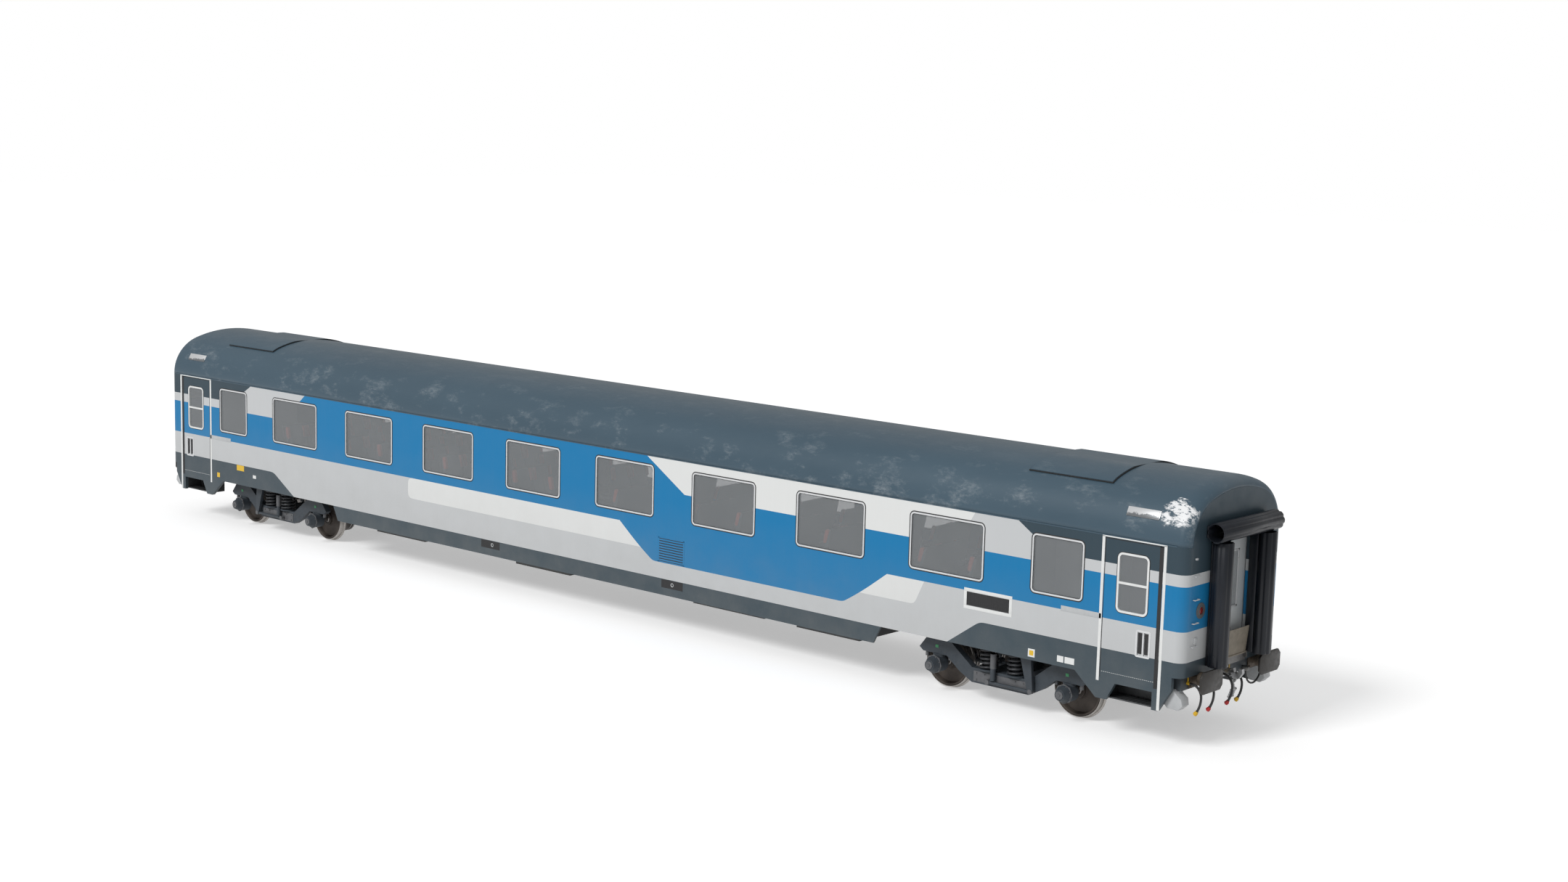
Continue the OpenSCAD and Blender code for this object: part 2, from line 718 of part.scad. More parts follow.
// Axleboxes under the arms, dampers, traction bars and brake callipers
module bogie_gear() {
    color(steel) {
        for (e = ends) both_sides() translate([e * wheelbase / 2, 0, 0]) difference() {
            union() {
                rod_y(0, -1200, -1000, axle_z, 290);
                translate([0, -1200, axle_z]) rotate([90, 0, 0]) cylinder(h = 130, d1 = 290, d2 = 180);
                translate([0, -frame_track / 2, axle_z]) cylinder(h = 640 - axle_z, d = 200);
            }
            rod_y(0, -journal_end - 10, -900, axle_z, journal_d + 2 * run_gap);
        }
        both_sides() {
            translate([-100, -1190, 420]) cylinder(h = 440, d = 90);
            box(-140, -60, -1190, -frame_track / 2 - frame_t / 2, 420, 480);
        }
        both_sides() {
            rod_x(-200, 640, -1190, 380, 50);
            box(-210, -140, -1190, -frame_track / 2 - frame_t / 2, 345, 415);
            on_side(-1220, 60) polygon([[430, 940], [640, 940], [690, 400], [600, 350]]);
        }
    }
}
module coil_springs() {
    z0 = 545;
    top_z = sole_z - 5;
    wire = 38;
    turns = 5;
    color("dimgray") for (e = ends) both_sides() translate([e * 270, -frame_track / 2, 0]) {
        translate([0, 0, z0]) cylinder(h = 25, r = 165);
        translate([0, 0, z0]) cylinder(h = top_z - z0, r = 125);
        translate([0, 0, top_z - 25]) cylinder(h = 25, r = 165);
        for (i = [1 : turns]) translate([0, 0, z0 + 25 + (top_z - z0 - 50) * (i - 0.5) / turns])
            rotate_extrude($fn = 64) translate([140, 0]) circle(d = wire, $fn = 24);
    }
}
// Axle with two solid wheels and two brake discs
module wheelset() {
    inner = back_to_back / 2;
    outer = inner + rim_w;
    wheel = [[axle_d / 2, inner - 15], [axle_d / 2, outer + 20], [135, outer + 20], [135, outer - 30],
             [160, inner + 75], [370, inner + 60], [385, outer - 10], [395, outer],
             [wheel_r - 4, outer], [wheel_r, inner + 70], [wheel_r + 2, inner + 34],
             [wheel_r + flange_h, inner + 22], [wheel_r + flange_h, inner + 12],
             [wheel_r + 10, inner], [395, inner], [385, inner + 20], [370, inner + 32],
             [160, inner + 45], [135, inner - 15]];
    color([0.17, 0.16, 0.16]) translate([0, 0, axle_z]) {
        rod_y(0, -inner - 20, inner + 20, 0, axle_d);
        rod_y(0, -journal_end, journal_end, 0, journal_d);
        both_sides() rotate([-90, 0, 0]) rotate_extrude($fn = 96) polygon(wheel);
        both_sides() rod_y(0, 300, 400, 0, 610);
    }
}
module on_bogie(e) {
    translate([e * bogie_x, 0, 0]) children();
}
module bogie_frame_front() {
    on_bogie(1) bogie_frame();
}
module bogie_frame_rear() {
    on_bogie(-1) bogie_frame();
}
module bogie_gear_front() {
    on_bogie(1) bogie_gear();
}
module bogie_gear_rear() {
    on_bogie(-1) mirror([1, 0, 0]) bogie_gear();
}
module coil_springs_front() {
    on_bogie(1) coil_springs();
}
module coil_springs_rear() {
    on_bogie(-1) coil_springs();
}

side_wall_left();
side_wall_right();
roof();
end_wall_front();
end_wall_rear();
floor_plate();  // floor
underframe();
headstocks();
pivot_pins();
skirts();
equipment_boxes();
air_tanks();
window_frames();
window_glass();
door_front_left();
door_front_right();
door_rear_left();
door_rear_right();
entrance_steps();
gangway_front();
gangway_rear();
gangway_fittings();
end_door_front();
end_door_rear();
fallplate_front();
fallplate_rear();
buffers();
drawgear();
tail_lamps();
brake_hose(1, 0);  // brake_hose_front_1
brake_hose(1, 1);  // brake_hose_front_2
brake_hose(1, 2);  // brake_hose_front_3
brake_hose(1, 3);  // brake_hose_front_4
jumper(1);  // jumper_front
brake_hose(-1, 0);  // brake_hose_rear_1
brake_hose(-1, 1);  // brake_hose_rear_2
brake_hose(-1, 2);  // brake_hose_rear_3
brake_hose(-1, 3);  // brake_hose_rear_4
jumper(-1);  // jumper_rear
hose_heads();
hose_cocks();
seat_cushions();
seat_backs();
seat_stands();
partitions();
ceiling();
luggage_racks();
bogie_frame_front();
bogie_gear_front();
coil_springs_front();
translate([bogie_x + wheelbase / 2, 0, 0]) wheelset();  // wheelset_1
translate([bogie_x - wheelbase / 2, 0, 0]) wheelset();  // wheelset_2
bogie_frame_rear();
bogie_gear_rear();
coil_springs_rear();
translate([-bogie_x + wheelbase / 2, 0, 0]) wheelset();  // wheelset_3
translate([-bogie_x - wheelbase / 2, 0, 0]) wheelset();  // wheelset_4
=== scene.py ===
import math

import bmesh
import bpy
from mathutils import Matrix, Vector


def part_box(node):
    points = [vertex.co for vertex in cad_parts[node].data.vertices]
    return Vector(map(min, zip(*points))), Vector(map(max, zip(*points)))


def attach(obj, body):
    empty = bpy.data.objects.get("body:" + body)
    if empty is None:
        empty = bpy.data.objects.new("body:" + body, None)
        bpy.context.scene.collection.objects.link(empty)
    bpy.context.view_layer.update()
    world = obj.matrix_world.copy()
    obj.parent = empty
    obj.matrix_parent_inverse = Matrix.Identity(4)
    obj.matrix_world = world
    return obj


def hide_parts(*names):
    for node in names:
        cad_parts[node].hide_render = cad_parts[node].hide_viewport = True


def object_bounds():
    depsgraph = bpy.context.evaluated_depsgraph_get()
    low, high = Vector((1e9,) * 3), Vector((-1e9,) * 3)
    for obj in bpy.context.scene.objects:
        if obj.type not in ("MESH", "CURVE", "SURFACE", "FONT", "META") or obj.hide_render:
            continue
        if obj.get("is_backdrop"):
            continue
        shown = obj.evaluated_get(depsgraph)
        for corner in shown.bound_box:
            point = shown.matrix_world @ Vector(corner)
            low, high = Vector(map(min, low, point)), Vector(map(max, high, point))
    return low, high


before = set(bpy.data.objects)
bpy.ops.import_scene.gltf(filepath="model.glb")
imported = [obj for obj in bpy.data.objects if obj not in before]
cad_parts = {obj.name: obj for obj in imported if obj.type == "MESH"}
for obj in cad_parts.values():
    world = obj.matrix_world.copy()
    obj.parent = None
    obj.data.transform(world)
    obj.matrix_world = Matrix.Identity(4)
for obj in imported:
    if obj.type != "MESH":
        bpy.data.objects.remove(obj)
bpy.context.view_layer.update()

# ---- Camera ----
# A long lens that stands off the front left corner, a little above the roof line.
camera_place = Vector((30.064, -30.306, 9.694))
camera_azimuth = math.radians(40.909)
camera_elevation = math.radians(8.761)
camera_roll = math.radians(1.538)

back = Vector((math.sin(camera_azimuth) * math.cos(camera_elevation),
               -math.cos(camera_azimuth) * math.cos(camera_elevation),
               math.sin(camera_elevation)))
level_right = Vector((0, 0, 1)).cross(back).normalized()
level_up = back.cross(level_right)
right = math.cos(camera_roll) * level_right + math.sin(camera_roll) * level_up
up = math.cos(camera_roll) * level_up - math.sin(camera_roll) * level_right
camera = bpy.data.objects.new("camera", bpy.data.cameras.new("camera"))
bpy.context.scene.collection.objects.link(camera)
camera.matrix_world = Matrix.Translation(camera_place) @ Matrix((right, up, back)).transposed().to_4x4()
camera.data.lens = 52.27
camera.data.sensor_width = 36
camera.data.clip_end = 400
bpy.context.scene.camera = camera

# ---- Brake hoses and jumper cables ----
# Black rubber hoses that hang from cocks on the headstocks, and one looped cable at each end.
# Each hose ends in a painted coupling head; the cable goes back into its second socket.
headstock_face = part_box("headstocks")[1].x
cock_length = 0.05
hose_diameter = 0.038
hose_rows = [(-1.06, "yellow"), (-0.69, "red"), (-0.145, "red"), (0.145, "yellow")]
hose_route = [(0, 1.03), (0.018, 1.03), (0.035, 1.03), (0.068, 1.026), (0.1, 1.016), (0.129, 0.998),
              (0.155, 0.974), (0.176, 0.946), (0.192, 0.913), (0.202, 0.877), (0.205, 0.84),
              (0.202, 0.789), (0.193, 0.738), (0.177, 0.69), (0.156, 0.643), (0.141, 0.617)]
jumper_diameter = 0.03
jumper_out = 0.06
jumper_route = [(0.59, 0.946), (0.59, 0.915), (0.598, 0.884), (0.622, 0.826), (0.66, 0.776),
                (0.71, 0.738), (0.768, 0.714), (0.83, 0.706), (0.892, 0.714), (0.95, 0.738),
                (1.0, 0.776), (1.038, 0.826), (1.062, 0.884), (1.07, 0.915), (1.07, 0.946)]
ends = {"front": 1, "rear": -1}


def new_material(name, colour, rough, metal=0.0):
    """A material with its shader set."""
    material = bpy.data.materials.new(name)
    material.use_nodes = True
    shader = material.node_tree.nodes["Principled BSDF"]
    shader.inputs["Base Color"].default_value = (*colour, 1)
    shader.inputs["Roughness"].default_value = rough
    shader.inputs["Metallic"].default_value = metal
    return material


def node(material, kind, *links, **settings):
    """Adds a node. links are values or sockets for its inputs in order; settings are its fields."""
    made = material.node_tree.nodes.new("ShaderNode" + kind)
    for field, value in settings.items():
        setattr(made, field, value)
    for socket, value in zip(made.inputs, links):
        if isinstance(value, bpy.types.NodeSocket):
            material.node_tree.links.new(value, socket)
        elif value is not None:
            socket.default_value = value
    return made


def wire(material, source, socket):
    """Leads a node's output to one of the shader's inputs."""
    shader = material.node_tree.nodes["Principled BSDF"]
    material.node_tree.links.new(source, shader.inputs[socket])


def place(material):
    """A point's place on the object, in metres."""
    return node(material, "TexCoord").outputs["Object"]


def grain(material, size, detail=4.0, stretch=(1, 1, 1), rough=0.6):
    """Cloudy variation from 0 to 1, with blotches about size metres across."""
    spread = node(material, "VectorMath", place(material), tuple(1 / (size * s) for s in stretch),
                  operation="MULTIPLY")
    noise = node(material, "TexNoise")
    noise.inputs["Scale"].default_value = 1
    noise.inputs["Detail"].default_value = detail
    noise.inputs["Roughness"].default_value = rough
    material.node_tree.links.new(spread.outputs[0], noise.inputs["Vector"])
    return noise.outputs["Fac"]


def ramp(material, value, low, high):
    """Stretches value so that low becomes 0 and high becomes 1."""
    made = node(material, "MapRange", value, low, high, 0.0, 1.0)
    return made.outputs[0]


def mix(material, share, first, second):
    """A colour between two colours."""
    made = node(material, "Mix", data_type="RGBA")
    for socket, value in ((made.inputs[0], share), (made.inputs[6], first), (made.inputs[7], second)):
        if isinstance(value, bpy.types.NodeSocket):
            material.node_tree.links.new(value, socket)
        elif isinstance(value, tuple):
            socket.default_value = (*value, 1)
        else:
            socket.default_value = value
    return made.outputs[2]


def bump(material, height, strength, depth):
    """Small relief from a height pattern; depth is in metres."""
    made = node(material, "Bump")
    made.inputs["Strength"].default_value = strength
    made.inputs["Distance"].default_value = depth
    material.node_tree.links.new(height, made.inputs["Height"])
    wire(material, made.outputs[0], "Normal")


def hose_rubber():
    material = new_material("hose_rubber", (0.012, 0.012, 0.013), 0.55)
    fine = grain(material, 0.004, 2)
    wire(material, mix(material, fine, (0.008, 0.008, 0.009), (0.03, 0.03, 0.032)), "Base Color")
    bump(material, fine, 0.3, 0.0006)
    return material


def hose_curve(name, points, diameter):
    """A round hose through points, as a curve of one open spline."""
    curve = bpy.data.curves.new(name, "CURVE")
    curve.dimensions = "3D"
    curve.bevel_depth = diameter / 2
    curve.bevel_resolution = 5
    curve.use_fill_caps = True
    spline = curve.splines.new("POLY")
    spline.points.add(len(points) - 1)
    for point, place_ in zip(spline.points, points):
        point.co = (*place_, 1)
    made = bpy.data.objects.new(name, curve)
    bpy.context.scene.collection.objects.link(made)
    made.data.materials.append(rubber_of_hoses)
    return made


rubber_of_hoses = hose_rubber()
for end, sign in ends.items():
    root_x = headstock_face + cock_length
    for count, (hose_y, _) in enumerate(hose_rows, 1):
        route = [(sign * (root_x + out), sign * hose_y, z) for out, z in hose_route]
        hose = hose_curve(f"hose_{end}_{count}", route, hose_diameter)
        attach(hose, "carbody")
        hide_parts(f"brake_hose_{end}_{count}")
    plane_x = headstock_face + jumper_out
    route = [(sign * plane_x, sign * y, z) for y, z in jumper_route]
    jumper = hose_curve(f"jumper_cable_{end}", route, jumper_diameter)
    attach(jumper, "carbody")
    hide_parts(f"jumper_{end}")

# ---- Floor and light ----
# A pale studio floor under soft light, with one wide lamp off the front left.
floor_bm = bmesh.new()
bmesh.ops.create_grid(floor_bm, x_segments=1, y_segments=1, size=150)
floor_mesh = bpy.data.meshes.new("studio_floor")
floor_bm.to_mesh(floor_mesh)
floor_bm.free()
studio_floor = bpy.data.objects.new("studio_floor", floor_mesh)
bpy.context.scene.collection.objects.link(studio_floor)
studio_floor.location.z = -0.002
floor_material = new_material("studio_floor", (0.8, 0.8, 0.8), 0.9)
seen = node(floor_material, "LightPath")
floor_material.node_tree.nodes["Principled BSDF"].inputs["Specular IOR Level"].default_value = 0
seen_by = node(floor_material, "Math", seen.outputs["Is Camera Ray"], seen.outputs["Is Glossy Ray"],
               operation="MAXIMUM")
seen_by = node(floor_material, "Math", seen_by.outputs[0], seen.outputs["Is Transmission Ray"],
               operation="MAXIMUM")
glow = node(floor_material, "Math", seen_by.outputs[0], 0.42, operation="MULTIPLY")
floor_material.node_tree.nodes["Principled BSDF"].inputs["Emission Color"].default_value = (1, 1, 1, 1)
wire(floor_material, glow.outputs[0], "Emission Strength")
studio_floor.data.materials.append(floor_material)
studio_floor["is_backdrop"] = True

world = bpy.data.worlds.new("studio")
world.use_nodes = True
bpy.context.scene.world = world
sky = world.node_tree.nodes["Background"]
sky_seen = world.node_tree.nodes.new("ShaderNodeLightPath")
sky_joined = world.node_tree.nodes.new("ShaderNodeMath")
sky_joined.operation = "MAXIMUM"
world.node_tree.links.new(sky_seen.outputs["Is Camera Ray"], sky_joined.inputs[0])
world.node_tree.links.new(sky_seen.outputs["Is Transmission Ray"], sky_joined.inputs[1])
sky_level = world.node_tree.nodes.new("ShaderNodeMapRange")
sky_level.inputs["To Min"].default_value = 0.47
sky_level.inputs["To Max"].default_value = 1
world.node_tree.links.new(sky_joined.outputs[0], sky_level.inputs["Value"])
world.node_tree.links.new(sky_level.outputs[0], sky.inputs["Strength"])
sky.inputs["Color"].default_value = (1, 1, 1, 1)

sun = bpy.data.objects.new("soft_lamp", bpy.data.lights.new("soft_lamp", "SUN"))
bpy.context.scene.collection.objects.link(sun)
sun.data.energy = 1.65
sun.data.angle = math.radians(20)
sun.rotation_euler = Vector((0.12, 0.8, -0.7)).to_track_quat("-Z", "Y").to_euler()
bpy.context.scene.view_settings.view_transform = "Standard"

# ---- Body sides and end walls ----
# Welded steel sheet, sprayed in blue, two greys and white. The two sides carry the same
# design as seen from outside, and the bands run round the corners onto the end walls.
body_blue = (0.006, 0.2, 0.45)
body_grey = (0.60, 0.615, 0.625)
body_white = (0.80, 0.81, 0.80)
body_slate = (0.036, 0.062, 0.082)
side_y = -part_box("side_wall_left")[0].y
cant_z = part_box("side_wall_left")[1].z
band_low, band_high, end_band_top, dark_top = 1.868, 2.555, 2.735, 1.394


class Livery:
    """Masks over the side's own two directions: along, seen from outside, and up."""

    def __init__(self, material):
        self.material = material
        split = node(material, "SeparateXYZ", place(material))
        x, y, self.up = split.outputs
        side = node(material, "Math", y, operation="SIGN").outputs[0]
        turned = node(material, "Math", side, -1.0, operation="MULTIPLY").outputs[0]
        self.along = node(material, "Math", x, turned, operation="MULTIPLY").outputs[0]

    def edge(self, start, end):
        """Distance from a straight edge; it grows to the left of the way from start to end."""
        (x0, z0), (x1, z1) = start, end
        length = math.dist(start, end)
        nx, nz = (z0 - z1) / length, (x1 - x0) / length
        part = node(self.material, "Math", self.along, nx, -(nx * x0 + nz * z0), operation="MULTIPLY_ADD")
        return node(self.material, "Math", self.up, nz, part.outputs[0], operation="MULTIPLY_ADD").outputs[0]

    def within(self, *distances, corner=0.0):
        """The area where every distance is positive, with its corners rounded."""
        least = distances[0]
        for other in distances[1:]:
            kind = "SMOOTH_MIN" if corner else "MINIMUM"
            least = node(self.material, "Math", least, other, corner or None, operation=kind).outputs[0]
        return least

    def either(self, first, second, corner=0.0):
        kind = "SMOOTH_MAX" if corner else "MAXIMUM"
        return node(self.material, "Math", first, second, corner or None, operation=kind).outputs[0]

    def mask(self, distance):
        return node(self.material, "Math", distance, 0.0, operation="GREATER_THAN").outputs[0]

    def above(self, z):
        return self.edge((0, z), (1, z))

    def below(self, z):
        return self.edge((1, z), (0, z))

    def right_of(self, x):
        return self.edge((x, 1), (x, 0))

    def left_of(self, x):
        return self.edge((x, 0), (x, 1))


def body_livery(name, dulled=1.0):
    """Paints the design on a material and returns it, with the sprayed finish on top."""
    material = new_material(name, body_grey, 0.34)
    art = Livery(material)
    colour = body_grey
    layers = []
    # the white stretch beside the windows' tops, and the grey at its front end
    roof_white = art.within(art.above(band_high), art.edge((1.79, 3.145), (2.74, 2.549)),
                            art.edge((9.02, 3.031), (9.09, 3.146)))
    layers.append((roof_white, body_white))
    # blue band, taken up to the roof behind the second to sixth windows
    band = art.within(art.above(band_low), art.below(band_high))
    blue_top = art.within(art.above(band_low), art.edge((2.74, 2.549), (1.79, 3.145)),
                          art.edge((-8.19, 3.148), (-8.32, 3.04)))
    blue_drop = art.within(art.edge((1.03, 1.842), (1.61, 1.476)), art.edge((1.61, 1.476), (1.88, 1.262)),
                           art.above(1.25), art.below(band_low + 0.1),
                           art.edge((6.465, 1.271), (6.79, 1.461)), art.edge((6.79, 1.461), (7.305, 1.838)),
                           corner=0.06)
    blue = art.either(art.either(band, blue_top), blue_drop, corner=0.0)
    # two white patches under the band
    left_patch = art.within(art.below(band_low), art.above(1.454), art.right_of(-4.86),
                            art.left_of(2.6), corner=0.2)
    right_patch = art.within(art.below(band_low + 0.2), art.above(1.463), art.edge((7.9, 1.4), (8.12, 1.87)),
                             art.right_of(6.0), corner=0.12)
    layers.append((left_patch, body_white))
    layers.append((right_patch, body_white))
    layers.append((blue, body_blue))
    # slate over the entrances and under the body line at both ends
    top_left = art.within(art.above(end_band_top), art.edge((-10.27, 3.016), (-10.06, 3.145)))
    top_right = art.within(art.above(end_band_top), art.edge((9.93, 3.141), (10.17, 2.984)))
    foot_left = art.within(art.below(dark_top), art.edge((-8.585, 0.964), (-9.227, 1.361)), corner=0.08)
    foot_left = art.within(foot_left, art.left_of(0))
    foot_right = art.within(art.below(dark_top), art.edge((9.205, 1.359), (8.649, 0.975)), corner=0.08)
    foot_right = art.within(foot_right, art.right_of(0))
    for slate in (top_left, top_right, foot_left, foot_right):
        layers.append((slate, body_slate))
    # the skirts hang below the body line
    layers.append((art.below(0.959), body_slate))
    for distance, paint in layers:
        colour = mix(material, art.mask(distance), colour, paint)
    # road dust that gathers low down, faint runs down the sheet and small worn spots
    dust = node(material, "Math", ramp(material, art.up, 2.4, 0.6), grain(material, 0.5, 5),
                operation="MULTIPLY").outputs[0]
    runs = grain(material, 0.06, 3, stretch=(1, 1, 14))
    spots = ramp(material, grain(material, 0.045, 6, rough=0.75), 0.66, 0.72)
    colour = mix(material, node(material, "Math", dust, 0.34, operation="MULTIPLY").outputs[0],
                 colour, (0.30, 0.29, 0.27))
    colour = mix(material, node(material, "Math", runs, 0.04, operation="MULTIPLY").outputs[0],
                 colour, (0.25, 0.26, 0.26))
    colour = mix(material, node(material, "Math", spots, 0.05, operation="MULTIPLY").outputs[0],
                 colour, (0.75, 0.77, 0.78))
    wire(material, colour, "Base Color")
    material.node_tree.nodes["Principled BSDF"].inputs["Specular IOR Level"].default_value = 0.22
    blotches = grain(material, 0.35, 4)
    wire(material, node(material, "MapRange", blotches, 0.2, 0.8, 0.26 * dulled, 0.5 * dulled).outputs[0],
         "Roughness")
    bump(material, grain(material, 0.9, 3), 0.25, 0.004)
    return material


def finish_node(name, material):
    """Gives a node of the frame its finish."""
    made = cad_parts[name]
    made.data.materials.clear()
    made.data.materials.append(material)


painted_body = body_livery("body_livery")
for name in ("side_wall_left", "side_wall_right", "end_wall_front", "end_wall_rear", "skirts"):
    finish_node(name, painted_body)
for name in ("door_front_left", "door_front_right", "door_rear_left", "door_rear_right"):
    finish_node(name, painted_body)

# ---- Roof ----
# Rolled sheet over arched ribs, with domed ends, a raised equipment hatch towards each end and
# a rain gutter along each side. The slate paint has pale chalked patches, made denser along the shoulders as a painted
# reflection of the sky.
roof_low, roof_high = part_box("roof")
roof_half = roof_high.x
shoulder_radius = 0.84
dome_length, corner_length = 0.33, 0.16
shoulder_y = side_y - shoulder_radius
crown_rise = roof_high.z - cant_z - shoulder_radius
crown_radius = shoulder_radius + (crown_rise ** 2 + shoulder_y ** 2) / (2 * crown_rise)
crown_centre_z = roof_high.z - crown_radius
shoulder_turn = math.atan2(cant_z - crown_centre_z, shoulder_y)


def add_object(name, bm, material, smooth=0.6, flip_check=True):
    """Makes a finished bmesh into a piece, with its faces turned outwards."""
    bmesh.ops.remove_doubles(bm, verts=bm.verts, dist=0.00002)
    if flip_check:
        bmesh.ops.recalc_face_normals(bm, faces=bm.faces)
    mesh = bpy.data.meshes.new(name)
    for face in bm.faces:
        face.smooth = True
    for edge in bm.edges:
        if len(edge.link_faces) == 2 and edge.calc_face_angle(0) > smooth:
            edge.smooth = False
    bm.to_mesh(mesh)
    bm.free()
    made = bpy.data.objects.new(name, mesh)
    bpy.context.scene.collection.objects.link(made)
    for each in (material if isinstance(material, list) else [material]):
        made.data.materials.append(each)
    return made


def arch(bm, x, lift=0.0, low=0.0):
    """Edges of the roof's arch at x, lifted off it, from the angle low on one shoulder to the other."""
    start = Vector((x, shoulder_y + (shoulder_radius + lift) * math.cos(low),
                    cant_z + (shoulder_radius + lift) * math.sin(low)))
    strip = [bm.verts.new(start)]
    for centre, angle, steps in (
            (Vector((x, shoulder_y, cant_z)), shoulder_turn - low, 14),
            (Vector((x, 0, crown_centre_z)), math.pi - 2 * shoulder_turn, 16),
            (Vector((x, -shoulder_y, cant_z)), shoulder_turn - low, 14)):
        for _ in range(steps):
            spun = bmesh.ops.spin(bm, geom=[strip[-1]], cent=centre, axis=(1, 0, 0), dvec=(0, 0, 0),
                                  angle=angle / steps, steps=1)
            strip += [part for part in spun["geom_last"] if isinstance(part, bmesh.types.BMVert)]
    return strip


def outward(point):
    """The roof's outward direction at a point, and how far up its arch the point is."""
    y, z = point.y, point.z
    if math.atan2(z - crown_centre_z, abs(y)) > shoulder_turn:
        direction = Vector((0, y, z - crown_centre_z)).normalized()
    else:
        direction = Vector((0, y - math.copysign(shoulder_y, y), z - cant_z)).normalized()
    return direction, max(direction.z, 0)


def roof_skin():
    """The whole roof as one skin: the barrel, then rings that close in over each dome."""
    bm = bmesh.new()
    outline = [vert.co.copy() for vert in arch(bm, 0)]
    barrel = list(bm.edges)
    turns = [math.radians(9 * k) for k in range(11)]
    for sign in (1, -1):
        row = barrel
        for step in ["barrel"] + turns:
            grown = bmesh.ops.extrude_edge_only(bm, edges=row)["geom"]
            row = [part for part in grown if isinstance(part, bmesh.types.BMEdge)]
            ring = {vert for edge in row for vert in edge.verts}
            if step == "barrel":
                bmesh.ops.translate(bm, verts=list(ring), vec=(sign * (roof_half - 0.6), 0, 0))
            else:
                order = sorted(ring, key=lambda vert: math.atan2(vert.co.z - crown_centre_z, vert.co.y))
                for vert, point in zip(order, outline):
                    direction, height = outward(point)
                    length = corner_length + (dome_length - corner_length) * height ** 2
                    inset = corner_length * (1 - math.cos(step))
                    vert.co = point - direction * inset
                    vert.co.x = sign * (roof_half - length * (1 - math.sin(step)))
    return bm


def roof_paint():
    material = new_material("roof_paint", (0.05, 0.08, 0.105), 0.42)
    centred = place(material)
    split = node(material, "SeparateXYZ", centred)
    x, y, z = split.outputs
    clouds = grain(material, 2.2, 5, stretch=(2.2, 1, 1))
    patches = grain(material, 0.42, 8, stretch=(1.8, 1, 1), rough=0.72)
    flakes = grain(material, 0.05, 5, stretch=(2, 1, 1), rough=0.7)
    base = mix(material, clouds, (0.036, 0.07, 0.1), (0.062, 0.112, 0.152))
    # chalked paint, made denser on the shoulders as a painted reflection of the sky
    sky_reflection_share = node(material, "MapRange", z, 3.4, 4.0, 1.0, 0.45).outputs[0]
    chalk_and_reflection = node(material, "Math", ramp(material, patches, 0.53, 0.66), sky_reflection_share, operation="MULTIPLY").outputs[0]
    chalk_and_reflection = node(material, "Math", chalk_and_reflection, ramp(material, flakes, 0.35, 0.62), operation="MULTIPLY").outputs[0]
    base = mix(material, node(material, "Math", chalk_and_reflection, 0.34, operation="MULTIPLY").outputs[0],
               base, (0.42, 0.46, 0.48))
    # a near-white patch over the front left corner
    reach = node(material, "VectorMath", centred, (12.68, -1.22, 3.66), operation="DISTANCE").outputs["Value"]
    pale_corner_patch = node(material, "Math", ramp(material, reach, 0.4, 0.06), ramp(material, patches, 0.44, 0.58),
                operation="MULTIPLY").outputs[0]
    pale_corner_patch = ramp(material, node(material, "Math", pale_corner_patch, ramp(material, flakes, 0.3, 0.55),
                               operation="MULTIPLY").outputs[0], 0.2, 0.42)
    base = mix(material, pale_corner_patch, base, (0.86, 0.87, 0.88))
    # lighter grey along the crown
    crown_grey = ramp(material, node(material, "Math", y, operation="ABSOLUTE").outputs[0], 0.7, 0.1)
    base = mix(material, node(material, "Math", crown_grey, 0.3, operation="MULTIPLY").outputs[0],
               base, (0.11, 0.13, 0.14))
    wire(material, base, "Base Color")
    wire(material, node(material, "MapRange", patches, 0.25, 0.75, 0.34, 0.58).outputs[0], "Roughness")
    bump(material, grain(material, 1.1, 3), 0.3, 0.006)
    return material


painted_roof = roof_paint()
roof_bm = roof_skin()
roof = add_object("roof_sheet", roof_bm, painted_roof, smooth=1.2)
wall = roof.modifiers.new("thickness", "SOLIDIFY")
wall.thickness = 0.06
wall.offset = -1
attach(roof, "carbody")
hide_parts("roof")


def roof_strip(name, x0, x1, low, lift, wall_t, material, top):
    """A raised panel that follows the arch between x0 and x1, from the angle low, and is flat at top."""
    bm = bmesh.new()
    arch(bm, x0, lift, low)
    grown = bmesh.ops.extrude_edge_only(bm, edges=list(bm.edges))["geom"]
    bmesh.ops.translate(bm, verts=[v for v in grown if isinstance(v, bmesh.types.BMVert)], vec=(x1 - x0, 0, 0))
    bmesh.ops.solidify(bm, geom=list(bm.faces), thickness=wall_t)
    for vert in bm.verts:
        vert.co.z = min(vert.co.z, top)
    made = add_object(name, bm, material, smooth=0.5)
    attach(made, "carbody")
    return made


# A black strip round each hatch, 12 mm wider on every side: painted shadow round the hatch's edges.
hatch_shadow_black = new_material("roof_hatch_shadow", (0.02, 0.022, 0.024), 0.7)
wire(hatch_shadow_black, mix(hatch_shadow_black, grain(hatch_shadow_black, 0.03, 3), (0.012, 0.013, 0.014), (0.04, 0.043, 0.046)),
     "Base Color")
hatch_low = math.radians(60)
for end, sign in ends.items():
    x0, x1 = sorted((sign * 9.82, sign * 11.36))
    hatch_shadow = roof_strip(f"hatch_shadow_strip_{end}", x0 - 0.012, x1 + 0.012, hatch_low - 0.016, 0.0015, 0.02, hatch_shadow_black,
                      roof_high.z - 0.002)
    hatch = roof_strip(f"roof_hatch_{end}", x0, x1, hatch_low, 0.0, 0.03, painted_roof, roof_high.z)

# Rain gutter: a folded strip that covers the seam between the roof and each side wall.
gutter_bm = bmesh.new()


